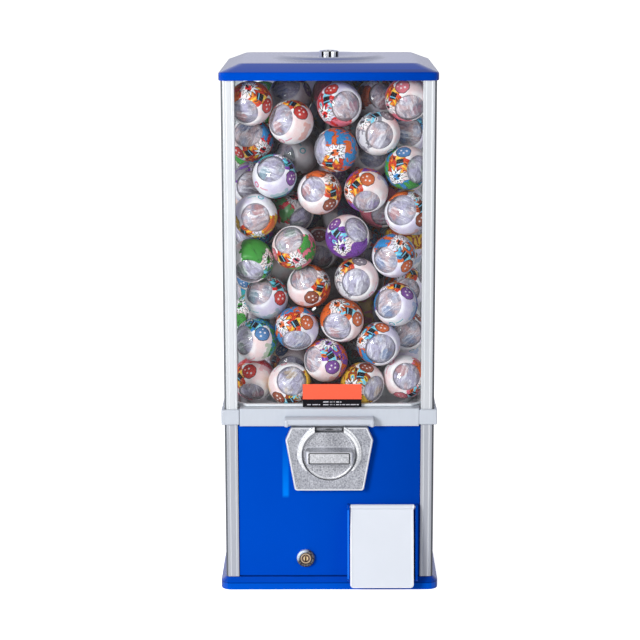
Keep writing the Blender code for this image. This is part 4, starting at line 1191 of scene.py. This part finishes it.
def seen_places():
    """Where the front capsules go: the seen place moved along the line of sight to its layer."""
    places = []
    for x, z, layer, *_rest in FRONT_CAPSULES:
        seen = np.array((x, LAYER_DEPTH[0], z), float)
        share = (LAYER_DEPTH[layer] - EYE[1]) / (seen[1] - EYE[1])
        places.append(EYE + (seen - EYE) * share)
    return np.array(places)


def push_from_box(points, low, high):
    """Move capsule centres off a box-shaped obstacle."""
    nearest = np.clip(points, low, high)
    gap = points - nearest
    distance = np.linalg.norm(gap, axis=1)
    close = distance < SPHERE
    away = gap[close] / np.maximum(distance[close], TINY)[:, None]
    points[close] = nearest[close] + away * (SPHERE + 0.05)


def keep_inside(points, guard_low, guard_high):
    """Hold capsule centres inside the windows, above the tray, off the rod and the guard."""
    push_from_box(points, guard_low, guard_high)
    reach = np.linalg.norm(points[:, :2], axis=1)
    rod = np.where(points[:, 2] > CUP_BOTTOM, CUP_RADIUS + SPHERE, ROD_RADIUS + SPHERE) + 0.3
    near = reach < rod
    scale = rod[near] / np.maximum(reach[near], TINY)
    points[near, :2] *= scale[:, None]
    np.clip(points[:, :2], -WALL_REACH, WALL_REACH, out=points[:, :2])
    reach = np.linalg.norm(points[:, :2], axis=1)
    floor = np.where(reach < WHEEL_EDGE, WHEEL_TOP, TRAY_FLOOR) + SPHERE + 0.2
    # Over the rim of the tray a capsule rests on its edge, square or cut corner.
    side = np.abs(points[:, :2]).max(axis=1)
    corner = np.abs(points[:, :2]).sum(axis=1) / sqrt(2)
    room = np.minimum(TRAY_EDGE - side, 2 * TRAY_EDGE / sqrt(2) - TRAY_CORNER - corner)
    over = room < SPHERE
    rest = TRAY_TOP + np.sqrt(np.maximum(SPHERE ** 2 - np.maximum(room, 0) ** 2, 0))
    floor = np.where(over, np.maximum(floor, rest), floor)
    points[:, 2] = np.clip(points[:, 2], floor, CEILING)


def spacing(points):
    """The way from each centre to each other, and how long it is; a centre is far from itself."""
    apart = points[:, None, :] - points[None, :, :]
    return apart, np.linalg.norm(apart, axis=2) + np.eye(len(points)) * FAR


def packed_capsules():
    """Centres of all capsules: the front ones near their places, the rest pushed apart behind."""
    draw = np.random.default_rng(41)
    guard_low, guard_high = (np.array(corner) * 1000 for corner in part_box("exit_guard"))
    targets = seen_places()
    front = len(targets)
    rest = CAPSULE_COUNT - front
    loose = np.column_stack((
        draw.uniform(-90, 90, rest),
        draw.uniform(-45, 90, rest),
        draw.uniform(260, 580, rest),
    ))
    points = np.vstack((targets, loose))
    sight = targets - EYE
    sight /= np.linalg.norm(sight, axis=1)[:, None]
    for turn in range(SETTLING_TURNS):
        size = 2 * SPHERE * min(1.0, 0.6 + turn / HELD_TURNS) + 0.06
        apart, distance = spacing(points)
        push = np.maximum(size - distance, 0) * 0.5
        direction = apart / np.maximum(distance, TINY)[:, :, None]
        points += (direction * push[:, :, None]).sum(axis=1) * 0.7
        hold = 0.25 if turn < HELD_TURNS else 0.02
        if turn > FREE_TURN:
            hold = 0
        along = ((points[:front] - EYE) * sight).sum(axis=1)
        points[:front] += (EYE + sight * along[:, None] - points[:front]) * hold
        keep_inside(points, guard_low, guard_high)
    _apart, distance = spacing(points)
    print("deepest capsule overlap, mm:", round(2 * SPHERE - distance.min(), 3))
    return points


def frame_of_axis(axis, roll):
    """A turn that takes local Z to the axis, after a roll about it."""
    turn = Vector((0, 0, 1)).rotation_difference(Vector(axis)).to_matrix()
    return np.array(turn @ Matrix.Rotation(roll, 3, "Z"))


def capsule_specs():
    """For each capsule: centre, turn, roll, tint, accent and seed."""
    draw = np.random.default_rng(7)
    inks = (ORANGE, RED, BROWN, PURPLE, GREEN, BLUE, TEAL, YELLOW, PINK)
    specs = []
    for number, centre in enumerate(packed_capsules()):
        if number < len(FRONT_CAPSULES):
            _x, _z, _layer, right, up, roll, tint, accent = FRONT_CAPSULES[number]
            toward = -math.sqrt(max(0.02, 1 - right ** 2 - up ** 2))
            axis = np.array((right, toward, up))
            roll = radians(roll)
        else:
            axis = draw.normal(size=3)
            roll = draw.uniform(0, 2 * pi)
            tint = inks[draw.integers(len(inks))]
            accent = inks[draw.integers(len(inks))]
        # Painted shade: capsules far from the windows are drawn darker, for the shadow inside the
        # stack.
        depth = max(abs(centre[0]), abs(centre[1]))
        specs.append({
            "centre": centre,
            "shade": min(max((80 - depth) / 38, 0), 1),
            "turn": frame_of_axis(axis / np.linalg.norm(axis), roll),
            "tint": linear(*tint),
            "accent": linear(*accent),
            "seed": float(draw.uniform(0, 1)),
            "half": radians(draw.uniform(45, 54)),
            "draw": int(draw.integers(1, 10 ** 6)),
        })
    return specs


def ball_mesh(columns, rows):
    """Unit sphere as vertices and faces."""
    points = [(0, 0, 1)]
    for row in range(1, rows):
        tilt = pi * row / rows
        for column in range(columns):
            turn = 2 * pi * column / columns
            points.append((sin(tilt) * cos(turn), sin(tilt) * sin(turn), cos(tilt)))
    points.append((0, 0, -1))
    last = len(points) - 1
    faces = []
    for column in range(columns):
        after = (column + 1) % columns
        faces.append((0, 1 + column, 1 + after))
        faces.append((last, last - columns + after, last - columns + column))
        for row in range(rows - 2):
            start = 1 + row * columns
            faces.append((start + column, start + columns + column,
                          start + columns + after, start + after))
    return np.array(points), faces


def band_mesh(half, columns=36, rows=8):
    """Closed ring of paper from latitude -half to half, in mm."""
    section = arc(BAND_OUTER, -half, half, rows) + arc(BAND_INNER, half, -half, rows)
    loops = []
    for column in range(columns):
        turn = -2 * pi * column / columns
        loops.append([(reach * cos(turn), reach * sin(turn), up) for reach, up in section])
    points, faces = loft(loops, closed=True)
    return np.array(points), faces


def crumpled(points, key):
    """Radii of a crumpled bag: sharp folds made from the nearest of several random planes."""
    draw = np.random.default_rng(key)
    normals = draw.normal(size=(26, 3))
    normals /= np.linalg.norm(normals, axis=1)[:, None]
    offsets = draw.uniform(0.88, 1.0, 26)
    reach = points @ normals.T
    planes = np.where(reach > 0.15, offsets / np.maximum(reach, 0.15), 9)
    radii = np.minimum(planes.min(axis=1), 0.985)
    ridges = np.abs(np.sin(points @ draw.normal(size=(3, 5)) * 3.2 + draw.uniform(0, 6, 5)))
    return radii - 0.05 * ridges.mean(axis=1) - 0.012 * draw.uniform(0, 1, len(points))


STORED = {  # what each point of the capsules keeps: kind and field of its attribute
    "tint": ("FLOAT_COLOR", "color"),
    "accent": ("FLOAT_COLOR", "color"),
    "seed": ("FLOAT", "value"),
    "shade": ("FLOAT", "value"),
}


def store(mesh, key, kind, field, values):
    """Keep a value on every point of a mesh."""
    made = mesh.attributes.new(key, kind, "POINT")
    made.data.foreach_set(field, np.asarray(values, np.float32).ravel())


def joined(name, parts, material, smooth):
    """One mesh from many, with each point's local place, tint, accent, seed and shade kept."""
    points = []
    local = []
    faces = []
    owners = []
    offset = 0
    for spec, own, own_faces in parts:
        points.append((own @ spec["turn"].T + spec["centre"]) * MM)
        local.append(own)
        faces.extend(tuple(offset + index for index in face) for face in own_faces)
        owners += [spec] * len(own)
        offset += len(own)
    mesh = bpy.data.meshes.new(name)
    mesh.from_pydata(np.vstack(points).tolist(), [], faces)
    store(mesh, "local", "FLOAT_VECTOR", "vector", np.vstack(local))
    for key, (kind, field) in STORED.items():
        store(mesh, key, kind, field, [spec[key] for spec in owners])
    mesh.materials.append(material)
    if smooth:
        mesh.shade_smooth()
    mesh.update()
    return placed(name, mesh)


def build_capsules():
    """Clear capsules with printed bands and crumpled wrapping inside."""
    specs = capsule_specs()
    ball, ball_faces = ball_mesh(32, 16)
    bag, bag_faces = ball_mesh(36, 18)
    shells = []
    bands = []
    films = []
    for spec in specs:
        shells.append((spec, ball * SHELL, ball_faces))
        bands.append((spec, *band_mesh(spec["half"])))
        films.append((spec, bag * crumpled(bag, spec["draw"])[:, None] * WRAPPING, bag_faces))
    half = len(specs) // 2
    pieces = [
        joined("capsule_shells", shells, capsule_shell(), True),
        joined("capsule_bands", bands, capsule_band(), True),
        joined("capsule_wrappings_a", films[:half], capsule_film(), False),
        joined("capsule_wrappings_b", films[half:], capsule_film(), False),
    ]
    for item in pieces:
        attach(item, "cabinet")
        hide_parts("capsule_load")


# ---------------------------------------------------------------- stage, light and camera


def build_floor():
    """Wide pale floor that reads white, with a soft contact shadow."""
    tree = Tree("floor_paper")
    place = tree.position()
    grain = tree.noise(place, 40, 2)
    colour = tree.mix(grain, (243, 243, 244), (249, 249, 250))
    paper = tree.principled(colour, 0.8, Specular_IOR_Level=0.0)
    path = tree.node("LightPath").outputs["Is Camera Ray"]
    glow = tree.node("Emission", {"Color": (1, 1, 1, 1), "Strength": Value(tree, path) * 0.85})
    both = tree.node("AddShader", {0: paper, 1: glow.outputs[0]}).outputs[0]
    material = tree.done(both)
    size = 60
    mesh = bpy.data.meshes.new("floor")
    corners = [(-size, -size, 0), (size, -size, 0), (size, size, 0), (-size, size, 0)]
    mesh.from_pydata(corners, [], [(0, 1, 2, 3)])
    mesh.materials.append(material)
    floor = placed("floor", mesh)
    floor.visible_glossy = False


def build_world():
    """White studio: brighter from the left, dark low down for reflections."""
    tree = Tree("studio", bpy.data.worlds)
    x, y, z = tree.split(tree.node("TexCoord").outputs["Generated"])
    # Reflections: bright in front, paler low down behind, darker overhead.
    in_front = tree.remap(y, -0.15, 0.15, 1.0, 0.0)
    behind = tree.remap(y, -0.15, 0.15, 0.0, 1.0)
    low_sky = tree.remap(z, -0.02, 0.05, 0.35, 0.78)
    high_sky = tree.remap(z, 0.35, 0.7, 1.0, 0.8)
    overhead = tree.remap(z, 0.6, 0.95, 1.0, 0.4)
    sideways = tree.remap(x, -0.9, 0.9, 1.1, 0.8)
    reflected = (in_front + behind * low_sky * high_sky) * overhead * sideways
    # Soft light: strongest from the front left, weakest from above and behind.
    depth = tree.remap(y, -0.7, 0.6, 0.70, 0.40)
    above = tree.remap(z, 0.3, 0.95, 1.0, 0.35)
    left = tree.remap(x, -1, 1, 1.12, 0.72)
    path = tree.node("LightPath").outputs
    is_glossy = Value(tree, path["Is Glossy Ray"])
    is_seen = Value(tree, path["Is Camera Ray"])
    light = tree.node("Mix", {0: is_glossy, 2: depth * above * left, 3: reflected}).outputs[0]
    light = tree.node("Mix", {0: is_seen, 2: light, 3: 1.0}).outputs[0]
    tone = tree.mix(behind * is_glossy, (1.0, 1.0, 1.0, 1.0), (0.92, 0.94, 1.14, 1.0))
    background = tree.node("Background", {"Color": tone, "Strength": light})
    tree.node("OutputWorld", {"Surface": background.outputs[0]})
    SCENE.world = tree.owner


def add_lamp(name, location, size, power):
    """Soft white rectangular lamp aimed at the middle of the machine."""
    lamp = bpy.data.lights.new(name, "AREA")
    lamp.shape = "RECTANGLE"
    lamp.size, lamp.size_y = size
    lamp.energy = power
    item = placed(name, lamp)
    item.location = location
    aim = Vector((0, 0, 0.34)) - Vector(location)
    item.rotation_euler = aim.to_track_quat("-Z", "Y").to_euler()


def build_lights():
    """Key from the upper left, weak fill from the right."""
    add_lamp("key", (-1.5, -2.3, 1.1), (0.8, 0.9), 61)
    add_lamp("fill", (1.9, -1.8, 0.9), (1.2, 1.6), 8)


def build_camera():
    """Looks slightly down on the front, a little above the lid."""
    data = bpy.data.cameras.new("camera")
    data.lens = 108.45
    data.sensor_width = 36
    data.shift_x = -0.01325
    camera = placed("camera", data)
    camera.location = EYE * MM
    camera.rotation_euler = (radians(90 - 11.46), radians(0.09), 0)
    SCENE.camera = camera


finish_nodes()
build_mech_face()
build_dial_handle()
build_hood_cheeks()
build_flap_skin()
build_lid_skin()
build_capsules()
build_floor()
build_world()
build_lights()
build_camera()
SCENE.view_settings.view_transform = "Standard"
